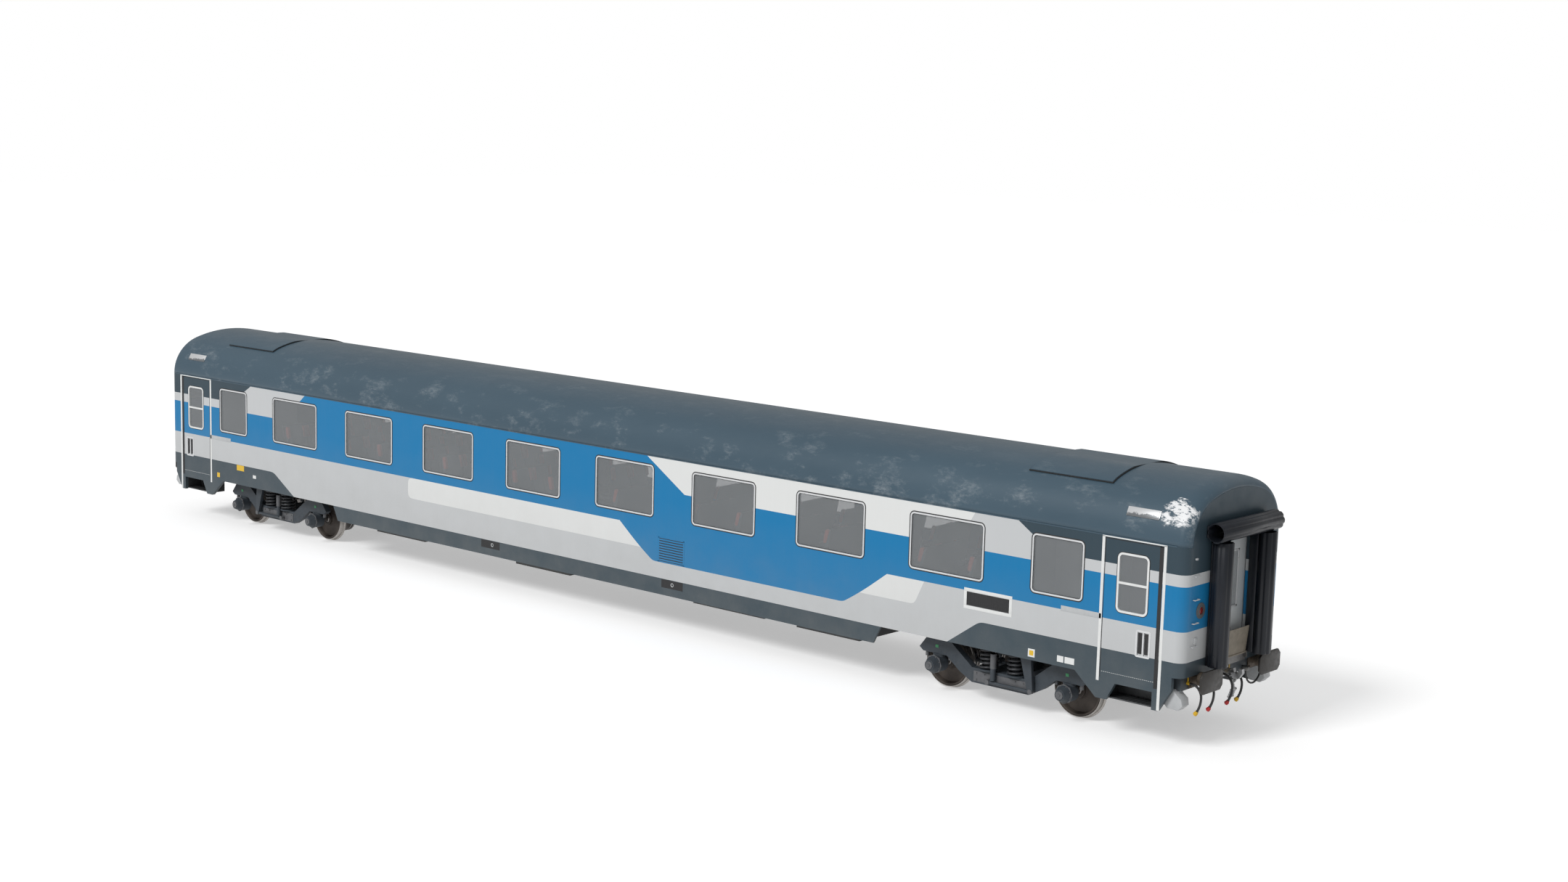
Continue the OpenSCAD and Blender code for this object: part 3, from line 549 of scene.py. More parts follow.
def bar(bm, x, y, z, round_off=0.0, steps=1):
    """A bar between two values along each axis, with its edges rounded off."""
    made = bmesh.ops.create_cube(bm, size=1)["verts"]
    bmesh.ops.scale(bm, vec=(x[1] - x[0], y[1] - y[0], z[1] - z[0]), verts=made)
    bmesh.ops.translate(bm, verts=made, vec=((x[0] + x[1]) / 2, (y[0] + y[1]) / 2, (z[0] + z[1]) / 2))
    if round_off:
        edges = list({edge for vert in made for edge in vert.link_edges})
        made = bmesh.ops.bevel(bm, geom=edges, offset=round_off, segments=steps, affect="EDGES",
                               profile=0.5, material=-1)["verts"]
    return made


def rod(bm, start, end, radius, end_radius=None, sides=20):
    """A round rod, or a cone where the radii differ, from start to end."""
    start, end = Vector(start), Vector(end)
    turn = (end - start).to_track_quat("Z", "Y").to_matrix().to_4x4()
    where = Matrix.Translation((start + end) / 2) @ turn
    return bmesh.ops.create_cone(bm, cap_ends=True, segments=sides, radius1=radius,
                                 radius2=radius if end_radius is None else end_radius,
                                 depth=(end - start).length, matrix=where)["verts"]


def turned(bm, profile, centre, axis, steps=32):
    """A lathe-turned shape: profile is [(radius, distance along the axis), ...]."""
    axis = Vector(axis).normalized()
    side = axis.orthogonal().normalized()
    verts = [bm.verts.new(Vector(centre) + side * radius + axis * far) for radius, far in profile]
    edges = [bm.edges.new(pair) for pair in zip(verts, verts[1:])]
    bmesh.ops.spin(bm, geom=verts + edges, cent=centre, axis=axis, dvec=(0, 0, 0),
                   angle=2 * math.pi, steps=steps, use_merge=True)
    return verts


def copied(bm, ways):
    """Repeats all that bm holds so far, once for each way of flipping or turning it."""
    first = list(bm.verts) + list(bm.edges) + list(bm.faces)
    for way in ways:
        made = bmesh.ops.duplicate(bm, geom=first)["geom"]
        bmesh.ops.scale(bm, vec=way, verts=[v for v in made if isinstance(v, bmesh.types.BMVert)])


both_sides = [(-1, -1, 1)]
all_corners = [(1, -1, 1), (-1, 1, 1), (-1, -1, 1)]
bar(gutter_bm, (-12.8, 12.8), (-side_y - 0.0035, -side_y + 0.004), (cant_z - 0.006, cant_z + 0.012), 0.002)
copied(gutter_bm, both_sides)
gutter = add_object("rain_gutter", gutter_bm, painted_roof)
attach(gutter, "carbody")

# ---- Windows ----
# Fixed double-glazed units in rounded frames of bright aluminium, each bedded in a black
# rubber profile that shows as a thin line round the frame and again round the glass.
window_pitch, window_size, window_count = 2.44, (1.51, 0.964), 8
end_window_at, end_window_width = 10.69, 0.99
window_low, window_round = 2.036, 0.09
proud = 0.004
all_windows = [((i - (window_count - 1) / 2) * window_pitch, window_size[0]) for i in range(window_count)]
all_windows += [(-end_window_at, end_window_width), (end_window_at, end_window_width)]


def rounded_face(bm, x, z, width, height, radius, y, steps=6):
    """A flat face with round corners, standing across the coach's side, centred on x."""
    before = set(bm.faces)
    made = bmesh.ops.create_grid(bm, x_segments=1, y_segments=1, size=0.5)["verts"]
    bmesh.ops.scale(bm, vec=(width, height, 1), verts=made)
    bmesh.ops.rotate(bm, verts=made, cent=(0, 0, 0), matrix=Matrix.Rotation(math.pi / 2, 3, "X"))
    bmesh.ops.translate(bm, verts=made, vec=(x, y, z + height / 2))
    bmesh.ops.bevel(bm, geom=made, offset=radius, segments=steps, affect="VERTICES", profile=0.5,
                    material=-1)
    return (set(bm.faces) - before).pop()


def frame_rings(bm, openings, low, height, radius, outer, inner, face_y, depth):
    """A rounded ring round each opening: outer and inner are how far in its two edges lie."""
    for x, width in openings:
        face = rounded_face(bm, x, low + outer, width - 2 * outer, height - 2 * outer,
                            max(radius - outer, 0.01), face_y)
        bmesh.ops.inset_region(bm, faces=[face], thickness=inner - outer, use_even_offset=True,
                               use_boundary=True)
        bmesh.ops.delete(bm, geom=[face], context="FACES")
    bm.normal_update()
    flat = list(bm.faces)
    for face in flat:
        if face.normal.y > 0:
            face.normal_flip()
    bmesh.ops.solidify(bm, geom=flat, thickness=depth)


def aluminium(name="window_aluminium"):
    material = new_material(name, (0.72, 0.73, 0.74), 0.3, 0.55)
    dulled = grain(material, 0.12, 5)
    wire(material, mix(material, dulled, (0.60, 0.61, 0.62), (0.78, 0.79, 0.80)), "Base Color")
    wire(material, node(material, "MapRange", dulled, 0.2, 0.8, 0.22, 0.42).outputs[0], "Roughness")
    return material


def black_rubber(name="window_rubber"):
    material = new_material(name, (0.014, 0.014, 0.015), 0.6)
    fine = grain(material, 0.02, 3)
    wire(material, mix(material, fine, (0.010, 0.010, 0.011), (0.026, 0.026, 0.028)), "Base Color")
    return material


def window_glass():
    material = new_material("window_glass", (0.235, 0.26, 0.275), 0.06)
    haze = grain(material, 0.8, 3)
    wire(material, mix(material, haze, (0.27, 0.29, 0.305), (0.34, 0.36, 0.375)), "Base Color")
    shader = material.node_tree.nodes["Principled BSDF"]
    shader.inputs["Alpha"].default_value = 0.4
    shader.inputs["Specular IOR Level"].default_value = 0.6
    material.blend_method = "BLEND"
    return material


bright_frame, frame_rubber = aluminium(), black_rubber()


def join_in(bm, part, way=None):
    """Adds another bmesh to bm, turned and placed by a matrix, and frees it."""
    if way is not None:
        part.transform(way)
    carried = bpy.data.meshes.new("carried")
    part.to_mesh(carried)
    part.free()
    bm.from_mesh(carried)
    bpy.data.meshes.remove(carried)


frames_bm = bmesh.new()
frame_rings(frames_bm, all_windows, window_low, window_size[1], window_round, 0.012, 0.04,
            -side_y - proud, 0.03)
copied(frames_bm, both_sides)
frames = add_object("window_frame_rings", frames_bm, bright_frame)
softened = frames.modifiers.new("soft_edges", "BEVEL")
softened.width, softened.segments, softened.limit_method = 0.0015, 2, "ANGLE"
seals_bm = bmesh.new()
frame_rings(seals_bm, all_windows, window_low, window_size[1], window_round, -0.006, 0.02,
            -side_y - 0.0025, 0.028)
inner_seals = bmesh.new()
frame_rings(inner_seals, all_windows, window_low, window_size[1], window_round, 0.03, 0.047,
            -side_y - 0.001, 0.06)
join_in(seals_bm, inner_seals)
copied(seals_bm, both_sides)
seals = add_object("window_seals", seals_bm, frame_rubber)
for piece in (frames, seals):
    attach(piece, "carbody")
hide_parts("window_frames")
finish_node("window_glass", window_glass())

# ---- Entry doors ----
# Plug doors in the body's colours, with a bright rail down each jamb, a rubber seal, a rounded
# window with one crossbar, a recessed handle and a ribbed kick strip over the lowest edge.
door_low, door_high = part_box("door_front_left")
door_at = (door_low.x + door_high.x) / 2
door_half = 0.515
door_top = door_high.z + 0.004
door_foot = 0.94
skin = -side_y


def fit_everywhere(name, bm, material, body="carbody", smooth=0.6):
    """Repeats a front left fitting at all four corners of the coach and makes it a piece."""
    copied(bm, all_corners)
    made = add_object(name, bm, material, smooth=smooth)
    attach(made, body)
    return made


def white_enamel():
    material = new_material("white_enamel", (0.82, 0.83, 0.82), 0.32)
    specks = grain(material, 0.05, 5)
    wire(material, mix(material, specks, (0.74, 0.75, 0.74), (0.86, 0.87, 0.86)), "Base Color")
    return material


def grey_enamel():
    material = new_material("grey_enamel", (0.5, 0.52, 0.53), 0.4)
    specks = grain(material, 0.08, 5)
    wire(material, mix(material, specks, (0.44, 0.46, 0.47), (0.58, 0.59, 0.6)), "Base Color")
    return material


enamel, enamel_grey = white_enamel(), grey_enamel()
rails_bm = bmesh.new()
rail_w, rail_out = 0.05, 0.004
bar(rails_bm, (door_at - door_half - rail_w - 0.006, door_at - door_half - 0.006),
    (skin - rail_out, skin + 0.004), (0.88, door_top + 0.02), 0.0015)
bar(rails_bm, (door_at + door_half + 0.006, door_at + door_half + rail_w + 0.006),
    (skin - rail_out, skin + 0.004), (0.612, door_top + 0.02), 0.0015)
bar(rails_bm, (door_at - door_half - rail_w - 0.006, door_at + door_half + rail_w + 0.006),
    (skin - rail_out, skin + 0.004), (door_top + 0.01, door_top + 0.03), 0.0015)
fit_everywhere("door_rails", rails_bm, enamel)

door_seals_bm = bmesh.new()
for x0, x1, z0, z1 in ((-door_half, -door_half + 0.012, door_foot, door_top),
                       (door_half - 0.066, door_half, door_foot, door_top),
                       (-door_half, door_half, door_top - 0.012, door_top)):
    bar(door_seals_bm, (door_at + x0, door_at + x1), (skin - 0.003, skin + 0.03), (z0, z1), 0.0015)
fit_everywhere("door_seals", door_seals_bm, frame_rubber)

door_window = (0.56, 0.93)
door_window_low = 2.0
door_frame_bm = bmesh.new()
frame_rings(door_frame_bm, [(door_at, door_window[0])], door_window_low, door_window[1], 0.09,
            0.0, 0.034, skin - proud, 0.03)
bar(door_frame_bm, (door_at - 0.25, door_at + 0.25), (skin - 0.002, skin + 0.026), (2.44, 2.478), 0.003)
fit_everywhere("door_window_frames", door_frame_bm, enamel)
door_gasket_bm = bmesh.new()
frame_rings(door_gasket_bm, [(door_at, door_window[0] + 0.024)], door_window_low - 0.012,
            door_window[1] + 0.024, 0.102, 0.0, 0.014, skin - 0.002, 0.02)
fit_everywhere("door_window_gaskets", door_gasket_bm, frame_rubber)

# handle: a raised surround, a dark pocket behind it and an upright grip
handle_x0, handle_x1, handle_z0, handle_z1 = door_at + 0.13, door_at + 0.33, 1.4, 1.76
surround_bm = bmesh.new()
frame_rings(surround_bm, [((handle_x0 + handle_x1) / 2, handle_x1 - handle_x0 + 0.06)], handle_z0 - 0.03,
            handle_z1 - handle_z0 + 0.06, 0.03, 0.0, 0.032, skin - proud, 0.012)
bar(surround_bm, (handle_x0 + 0.085, handle_x0 + 0.115), (skin - 0.002, skin + 0.016),
    (handle_z0, handle_z1), 0.004, 2)
fit_everywhere("door_handle_surrounds", surround_bm, bright_frame)
# The pockets are black: painted shade inside the handle recess.
pocket_shade_bm = bmesh.new()
for x0, x1 in ((handle_x0 + 0.006, handle_x0 + 0.08), (handle_x0 + 0.12, handle_x1 - 0.006)):
    bar(pocket_shade_bm, (x0, x1), (skin + 0.014, skin + 0.02), (handle_z0 + 0.02, handle_z1 - 0.02), 0.002)
fit_everywhere("door_handle_pocket_shade", pocket_shade_bm, frame_rubber)

# fold-out mirror rail beside the door, and the kick strip's rivets
guide_bm = bmesh.new()
bar(guide_bm, (10.79, 11.53), (skin - proud, skin + 0.01), (1.845, 1.93), 0.003, 2)
for x in (10.86, 11.16, 11.46):
    rod(guide_bm, (x, skin - proud - 0.0002, 1.888), (x, skin, 1.888), 0.012, sides=12)
fit_everywhere("door_guide_plates", guide_bm, enamel_grey)
kick_bm = bmesh.new()
for k in range(27):
    x = door_at - door_half + 0.03 + k * 0.035
    bar(kick_bm, (x, x + 0.02), (skin - 0.002, skin + 0.004), (1.032, 1.038), 0.0008)
fit_everywhere("door_kick_rivets", kick_bm, enamel)

# steps: a dark well with two ribbed treads
step_steel = new_material("step_steel", (0.09, 0.095, 0.1), 0.5, 0.6)
step_dirt = grain(step_steel, 0.1, 5)
wire(step_steel, mix(step_steel, step_dirt, (0.045, 0.047, 0.05), (0.13, 0.135, 0.14)), "Base Color")
finish_node("entrance_steps", step_steel)
treads_bm = bmesh.new()
for z in (0.64, 0.94):
    for k in range(12):
        x = door_at - 0.41 + k * 0.074
        bar(treads_bm, (x, x + 0.022), (skin + 0.085, skin + 0.39), (z, z + 0.005), 0.0015)
fit_everywhere("step_treads", treads_bm, step_steel)

# folded bright step bracket hanging from each corner of the body
bracket_bm = bmesh.new()
bent = ((12.62, 0.955), (12.62, 0.76), (12.70, 0.655), (12.89, 0.645), (12.975, 0.73), (12.95, 0.83), (12.86, 0.90),
        (12.80, 0.955))
near = [bracket_bm.verts.new((x, -1.33 + 0.12 * max(0.0, 0.8 - z), z)) for x, z in bent]
far = [bracket_bm.verts.new((x, -1.12 - 0.15 * max(0.0, 0.8 - z), z)) for x, z in bent]
bracket_bm.faces.new(near)
bracket_bm.faces.new(far[::-1])
for k in range(len(bent)):
    bracket_bm.faces.new((near[k], far[k], far[(k + 1) % len(bent)], near[(k + 1) % len(bent)]))
bmesh.ops.recalc_face_normals(bracket_bm, faces=bracket_bm.faces)
bmesh.ops.bevel(bracket_bm, geom=list(bracket_bm.edges), offset=0.006, segments=2, affect="EDGES", profile=0.5,
                material=-1)
bar(bracket_bm, (12.74, 12.85), (-1.23, -1.11), (0.88, 0.94), 0.004)
fit_everywhere("corner_steps", bracket_bm, enamel_grey)

# ---- Roof lamps, louvre, air intake and blank signs ----
# Small fittings pressed or screwed to the sheet: an entry lamp over each door on the shoulder
# of the roof, a pressed louvre, a framed air intake with a black mesh and plain sign plates.
lamp_bm = bmesh.new()
lamp_turn = math.radians(29)
lamp_span = (11.84, 12.42)
lamp_centre = Vector((0, -(shoulder_y + (shoulder_radius - 0.004) * math.cos(lamp_turn)),
                      cant_z + (shoulder_radius - 0.004) * math.sin(lamp_turn)))
lamp_tilt = Matrix.Rotation(math.radians(90) - lamp_turn, 3, "X")
for x, half_width, height, lift in (((lamp_span[0] + lamp_span[1]) / 2, 0.29, 0.15, 0.0),
                                    ((lamp_span[0] + lamp_span[1]) / 2, 0.27, 0.12, 0.006)):
    made = bar(lamp_bm, (-half_width, half_width), (-height / 2, height / 2), (-0.02, 0.012 + lift), 0.004, 2)
    bmesh.ops.rotate(lamp_bm, verts=made, cent=(0, 0, 0), matrix=lamp_tilt)
    bmesh.ops.translate(lamp_bm, verts=made, vec=lamp_centre + Vector((x, 0, 0)))
lamp_steel = new_material("lamp_steel", (0.5, 0.51, 0.52), 0.35, 0.4)
lamp_up = node(lamp_steel, "SeparateXYZ", place(lamp_steel)).outputs["Z"]
# Dark below a ragged line across the lamp and pale above it.
lamp_ragged_split = node(lamp_steel, "Math", grain(lamp_steel, 0.1, 7, rough=0.75), 0.16, operation="MULTIPLY").outputs[0]
lamp_ragged_split = node(lamp_steel, "Math", lamp_up, lamp_ragged_split, operation="SUBTRACT").outputs[0]
wire(lamp_steel, mix(lamp_steel, ramp(lamp_steel, lamp_ragged_split, 3.455, 3.465), (0.2, 0.21, 0.22), (0.66, 0.67, 0.68)),
     "Base Color")
fit_everywhere("entry_lamps", lamp_bm, lamp_steel)

louvre_bm = bmesh.new()
for k in range(9):
    z = 1.285 + k * 0.046
    made = bar(louvre_bm, (2.13, 2.72), (skin - proud, skin + 0.004), (z, z + 0.03), 0.003, 2)
for x0, x1, z0, z1 in ((2.1, 2.13, 1.26, 1.71), (2.72, 2.75, 1.26, 1.71), (2.1, 2.75, 1.255, 1.275),
                       (2.1, 2.75, 1.695, 1.715)):
    bar(louvre_bm, (x0, x1), (skin - 0.003, skin + 0.004), (z0, z1), 0.001)
copied(louvre_bm, both_sides)
louvre = add_object("side_louvres", louvre_bm, painted_body)
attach(louvre, "carbody")
# Black sheets behind the louvre slats and the intake bars, and two more low on the skirt at the lifting rings: painted
# shade where these openings are dark inside.
louvre_shade_sheets = bmesh.new()
bar(louvre_shade_sheets, (2.13, 2.72), (skin - 0.0008, skin + 0.004), (1.275, 1.695), 0.0004)
for x in (-2.4, 2.46):
    bar(louvre_shade_sheets, (x - 0.26, x + 0.27), (skin - 0.0008, skin + 0.004), (0.8, 0.95), 0.0004)
bar(louvre_shade_sheets, (8.98, 9.81), (skin - 0.0015, skin + 0.004), (1.63, 1.85), 0.0006)
copied(louvre_shade_sheets, both_sides)
shade_sheets = add_object("openings_painted_shade", louvre_shade_sheets, frame_rubber)
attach(shade_sheets, "carbody")

intake_bm = bmesh.new()
for x0, x1, z0, z1 in ((8.93, 9.87, 1.57, 1.625), (8.93, 9.87, 1.855, 1.91), (8.93, 8.985, 1.625, 1.855),
                       (9.815, 9.87, 1.625, 1.855)):
    bar(intake_bm, (x0, x1), (skin - proud, skin + 0.006), (z0, z1), 0.0025, 2)
copied(intake_bm, both_sides)
intake = add_object("air_intake_frames", intake_bm, enamel)
intake_mesh = bmesh.new()
for k in range(20):
    x = 9.0 + k * 0.0425
    bar(intake_mesh, (x, x + 0.006), (skin - 0.003, skin + 0.002), (1.63, 1.85), 0.001)
copied(intake_mesh, both_sides)
intake_bars = add_object("air_intake_bars", intake_mesh, frame_rubber)
for piece in (intake, intake_bars):
    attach(piece, "carbody")

ring_bm = bmesh.new()
for x in (-2.34, 2.47):
    turned(ring_bm, [(0.022, 0.0), (0.032, 0.002), (0.036, 0.0035), (0.03, 0.0036), (0.024, 0.002), (0.022, 0.0)],
           (x, skin - 0.0005, 0.875), (0, -1, 0), 24)
copied(ring_bm, both_sides)
rings = add_object("lifting_rings", ring_bm, enamel_grey)
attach(rings, "carbody")

sign_yellow = new_material("sign_yellow", (0.8, 0.5, 0.03), 0.45)
wire(sign_yellow, mix(sign_yellow, grain(sign_yellow, 0.02, 4), (0.72, 0.42, 0.02), (0.86, 0.58, 0.05)),
     "Base Color")
yellow_bm, white_bm = bmesh.new(), bmesh.new()
for bm_, x, z, w, h in ((yellow_bm, -10.45, 1.33, 0.26, 0.12), (yellow_bm, -11.25, 1.08, 0.1, 0.1),
                        (white_bm, 10.275, 1.076, 0.13, 0.13), (white_bm, 10.82, 1.08, 0.12, 0.1),
                        (white_bm, 10.99, 1.08, 0.18, 0.1), (white_bm, -9.95, 1.2, 0.11, 0.07)):
    bar(bm_, (x - w / 2, x + w / 2), (skin - 0.002, skin + 0.002), (z - h / 2, z + h / 2), 0.0008)
bar(yellow_bm, (10.235, 10.315), (skin - 0.003, skin), (1.036, 1.116), 0.0008)
for name, bm_, finish in (("yellow_plates", yellow_bm, sign_yellow), ("white_plates", white_bm, enamel)):
    copied(bm_, both_sides)
    plates = add_object(name, bm_, finish)
    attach(plates, "carbody")

# ---- Gangways ----
# Rubber tubes round the doorway: a hollow roll across the top and a ribbed roll down each side,
# clamped to the end wall. A steel door slides behind them over a folding tread plate.
body_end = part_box("end_wall_front")[1].x
tube_radius = 0.16
tube_x = body_end + tube_radius
tube_apart, tube_cross_z, tube_half = 0.65, 3.34, 0.9
tube_foot, tube_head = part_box("gangway_front")[0].z, tube_cross_z - tube_radius - 0.002


def gangway_rubber():
    material = new_material("gangway_rubber", (0.018, 0.02, 0.025), 0.3)
    # Streaks that run up the tubes: stains, and lighter bluish streaks that are a painted sheen.
    stains_and_sheen = grain(material, 0.25, 5, stretch=(1, 1, 3))
    wire(material, mix(material, stains_and_sheen, (0.005, 0.006, 0.009), (0.022, 0.026, 0.034)), "Base Color")
    wire(material, node(material, "MapRange", stains_and_sheen, 0.25, 0.75, 0.25, 0.5).outputs[0], "Roughness")
    material.node_tree.nodes["Principled BSDF"].inputs["Specular IOR Level"].default_value = 0.3
    return material


tube_rubber = gangway_rubber()


def ribbed_tube(start, end):
    """A rubber roll about Z with a hollow middle and eight ribs that run its whole length."""
    part = bmesh.new()
    ribs = 8
    section = ((start, 0.93), (start + 0.012, 1.0), (end - 0.012, 1.0), (end, 0.93), (end, 0.84), (start, 0.84))
    verts = [part.verts.new((0, tube_radius * share, far)) for far, share in section]
    edges = [part.edges.new((verts[k], verts[(k + 1) % len(verts)])) for k in range(len(verts))]
    bmesh.ops.spin(part, geom=verts + edges, cent=(0, 0, 0), axis=(0, 0, 1), dvec=(0, 0, 0),
                   angle=2 * math.pi, steps=ribs * 8, use_merge=True)
    for vert in part.verts:
        if math.hypot(vert.co.x, vert.co.y) > 0.88 * tube_radius:
            dip = 0.1 * (0.5 - 0.5 * math.cos(math.atan2(vert.co.y, vert.co.x) * ribs)) ** 3
            vert.co.x *= 1 - dip
            vert.co.y *= 1 - dip
    return part


tubes = {}
for end, sign in ends.items():
    bm = bmesh.new()
    join_in(bm, ribbed_tube(-tube_half, tube_half), Matrix.Translation((sign * tube_x, 0, tube_cross_z))
            @ Matrix.Rotation(math.pi / 2, 4, "X"))
    for side in (-1, 1):
        join_in(bm, ribbed_tube(tube_foot, tube_head), Matrix.Translation((sign * tube_x, side * tube_apart, 0)))
        bar(bm, *[sorted((sign * body_end, sign * (body_end + 0.03)))],
            (side * tube_apart - 0.09, side * tube_apart + 0.09), (tube_foot, tube_head), 0.006)
        bar(bm, *[sorted((sign * body_end, sign * (body_end + 0.14)))],
            (side * 0.42 - 0.012, side * 0.42 + 0.012), (tube_foot + 0.04, tube_head), 0.004)
    bar(bm, *[sorted((sign * body_end, sign * (body_end + 0.03)))], (-tube_half, tube_half),
        (tube_cross_z - 0.09, tube_cross_z + 0.09), 0.006)
    tubes[end] = add_object(f"gangway_tubes_{end}", bm, tube_rubber, smooth=0.8)
    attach(tubes[end], "carbody")
    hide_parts(f"gangway_{end}")

door_grey = new_material("end_door_enamel", (0.52, 0.54, 0.55), 0.35)
door_dirt = grain(door_grey, 0.3, 5, stretch=(1, 1, 4))
wire(door_grey, mix(door_grey, door_dirt, (0.42, 0.45, 0.46), (0.62, 0.64, 0.65)), "Base Color")
tread_brown = new_material("tread_plate", (0.2, 0.17, 0.13), 0.55, 0.3)
tread_wear = grain(tread_brown, 0.09, 6)
wire(tread_brown, mix(tread_brown, tread_wear, (0.13, 0.11, 0.085), (0.3, 0.265, 0.21)), "Base Color")
plain_steel = new_material("worn_steel", (0.2, 0.2, 0.2), 0.45, 0.8)
steel_wear = grain(plain_steel, 0.06, 6)
wire(plain_steel, mix(plain_steel, steel_wear, (0.09, 0.088, 0.085), (0.28, 0.275, 0.27)), "Base Color")
finish_node("gangway_fittings", plain_steel)
for end, sign in ends.items():
    finish_node(f"end_door_{end}", door_grey)
    finish_node(f"fallplate_{end}", tread_brown)
    low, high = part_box(f"end_door_{end}")
    face = high.x if sign > 0 else low.x
    bm = bmesh.new()
    for y0, y1, z0, z1 in ((-0.265, -0.235, 2.02, 2.93), (0.235, 0.265, 2.02, 2.93),
                           (-0.265, 0.265, 2.9, 2.93), (-0.265, 0.265, 2.02, 2.05)):
        bar(bm, sorted((face - sign * 0.01, face + sign * 0.006)), (y0, y1), (z0, z1), 0.002)
    bar(bm, sorted((face - sign * 0.002, face + sign * 0.009)), (sign * -0.4 - 0.012, sign * -0.4 + 0.012),
        (1.95, 2.2), 0.004, 2)
    trim = add_object(f"end_door_trim_{end}", bm, bright_frame)
    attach(trim, f"end_door_{end}")
    bm = bmesh.new()
    bar(bm, sorted((face - sign * 0.018, face - sign * 0.0125)), (-0.236, 0.236), (2.044, 2.906), 0.001)
    pane = add_object(f"end_door_pane_{end}", bm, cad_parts["window_glass"].data.materials[0])
    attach(pane, f"end_door_{end}")

# ---- Buffers ----
# Side buffers: a cast foot bolted to the headstock, a turned sleeve and drum, and a forged
# plate with clipped corners that is greased nearly black.
buffer_y, buffer_z = 0.875, 1.085
plate_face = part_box("buffers")[1].x
plate_half_w, plate_half_h, plate_clip, plate_thick = 0.315, 0.17, 0.07, 0.035
cast_brown = new_material("cast_buffer", (0.11, 0.085, 0.062), 0.6, 0.3)
cast_rust = grain(cast_brown, 0.08, 6)
wire(cast_brown, mix(cast_brown, cast_rust, (0.055, 0.045, 0.036), (0.19, 0.15, 0.11)), "Base Color")
bump(cast_brown, grain(cast_brown, 0.012, 3), 0.4, 0.002)
greased = new_material("greased_plate", (0.022, 0.021, 0.02), 0.38, 0.4)
grease = grain(greased, 0.07, 6)
wire(greased, mix(greased, grease, (0.012, 0.011, 0.011), (0.055, 0.05, 0.045)), "Base Color")
wire(greased, node(greased, "MapRange", grease, 0.25, 0.75, 0.25, 0.6).outputs[0], "Roughness")
sleeves_bm, plates_bm = bmesh.new(), bmesh.new()
drum_start, drum_end = body_end + 0.006, headstock_face + 0.21
turned(sleeves_bm, [(0.0, headstock_face), (0.072, headstock_face), (0.072, drum_start), (0.098, drum_start),
                    (0.105, drum_start + 0.01), (0.105, drum_end - 0.02), (0.1, drum_end - 0.012),
                    (0.1, drum_end - 0.006), (0.092, drum_end), (0.076, drum_end), (0.074, drum_end + 0.004),
                    (0.074, plate_face - plate_thick - 0.02), (0.1, plate_face - plate_thick),
                    (0.0, plate_face - plate_thick)],
       (0, -buffer_y, buffer_z), (1, 0, 0), 40)
for k in range(5):
    rod(sleeves_bm, (body_end + 0.02 + k * 0.016, -buffer_y, buffer_z),
        (body_end + 0.026 + k * 0.016, -buffer_y, buffer_z), 0.1085, sides=40)
bar(sleeves_bm, (headstock_face, headstock_face + 0.022), (-buffer_y - 0.15, -buffer_y + 0.15),
    (buffer_z - 0.14, buffer_z + 0.07), 0.006, 2)
for y in (-0.12, 0.12):
    for z in (-0.115, 0.045):
        rod(sleeves_bm, (headstock_face + 0.02, -buffer_y + y, buffer_z + z),
            (headstock_face + 0.042, -buffer_y + y, buffer_z + z), 0.019, sides=6)
copied(sleeves_bm, all_corners)
sleeves = add_object("buffer_sleeves", sleeves_bm, cast_brown)
plate = bar(plates_bm, (plate_face - plate_thick, plate_face), (-buffer_y - plate_half_w, -buffer_y + plate_half_w),
            (buffer_z - plate_half_h, buffer_z + plate_half_h))
corners = [edge for edge in plates_bm.edges
           if abs(edge.verts[0].co.y - edge.verts[1].co.y) < 1e-6 and abs(edge.verts[0].co.z - edge.verts[1].co.z) < 1e-6]
bmesh.ops.bevel(plates_bm, geom=corners, offset=plate_clip, segments=1, affect="EDGES", profile=0.5, material=-1)
bmesh.ops.bevel(plates_bm, geom=list(plates_bm.edges), offset=0.004, segments=2, affect="EDGES", profile=0.5,
                material=-1)
copied(plates_bm, all_corners)
buffer_plates = add_object("buffer_plates", plates_bm, greased)
for piece in (sleeves, buffer_plates):
    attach(piece, "carbody")
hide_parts("buffers")

# ---- Drawgear, tail lamps and headstock fittings ----
# A forged drawhook with a screw coupling, red tail lamps let into the end wall, and the cocks
# and coupling heads of the brake pipes: brass handles painted yellow, heads painted red or yellow.
bright_steel = new_material("bright_hook", (0.42, 0.43, 0.44), 0.3, 0.85)
hook_wear = grain(bright_steel, 0.05, 6)
wire(bright_steel, mix(bright_steel, hook_wear, (0.2, 0.2, 0.205), (0.55, 0.56, 0.57)), "Base Color")
finish_node("drawgear", bright_steel)
link_bm = bmesh.new()
for z in (1.0, 1.014):
    turned(link_bm, [(0.052, 0.0), (0.06, 0.006), (0.068, 0.0), (0.06, -0.006), (0.052, 0.0)],
           (headstock_face + 0.175, 0, z - 0.05), (0, 1, 0), 28)
rod(link_bm, (headstock_face + 0.16, 0, 0.93), (headstock_face + 0.2, 0, 0.78), 0.021)
for k in range(9):
    z = 0.79 + k * 0.015
    rod(link_bm, (headstock_face + 0.2 - 0.26 * (z - 0.78), 0, z), (headstock_face + 0.2 - 0.26 * (z - 0.774), 0, z + 0.006),
        0.026)
rod(link_bm, (headstock_face + 0.195, -0.07, 0.78), (headstock_face + 0.195, 0.07, 0.78), 0.02)
for y in (-0.06, 0.06):
    rod(link_bm, (headstock_face + 0.195, y, 0.79), (headstock_face + 0.15, y, 0.66), 0.016)
rod(link_bm, (headstock_face + 0.15, -0.07, 0.66), (headstock_face + 0.15, 0.07, 0.66), 0.019)
copied(link_bm, [(-1, -1, 1)])
links = add_object("screw_couplings", link_bm, bright_steel)
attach(links, "carbody")

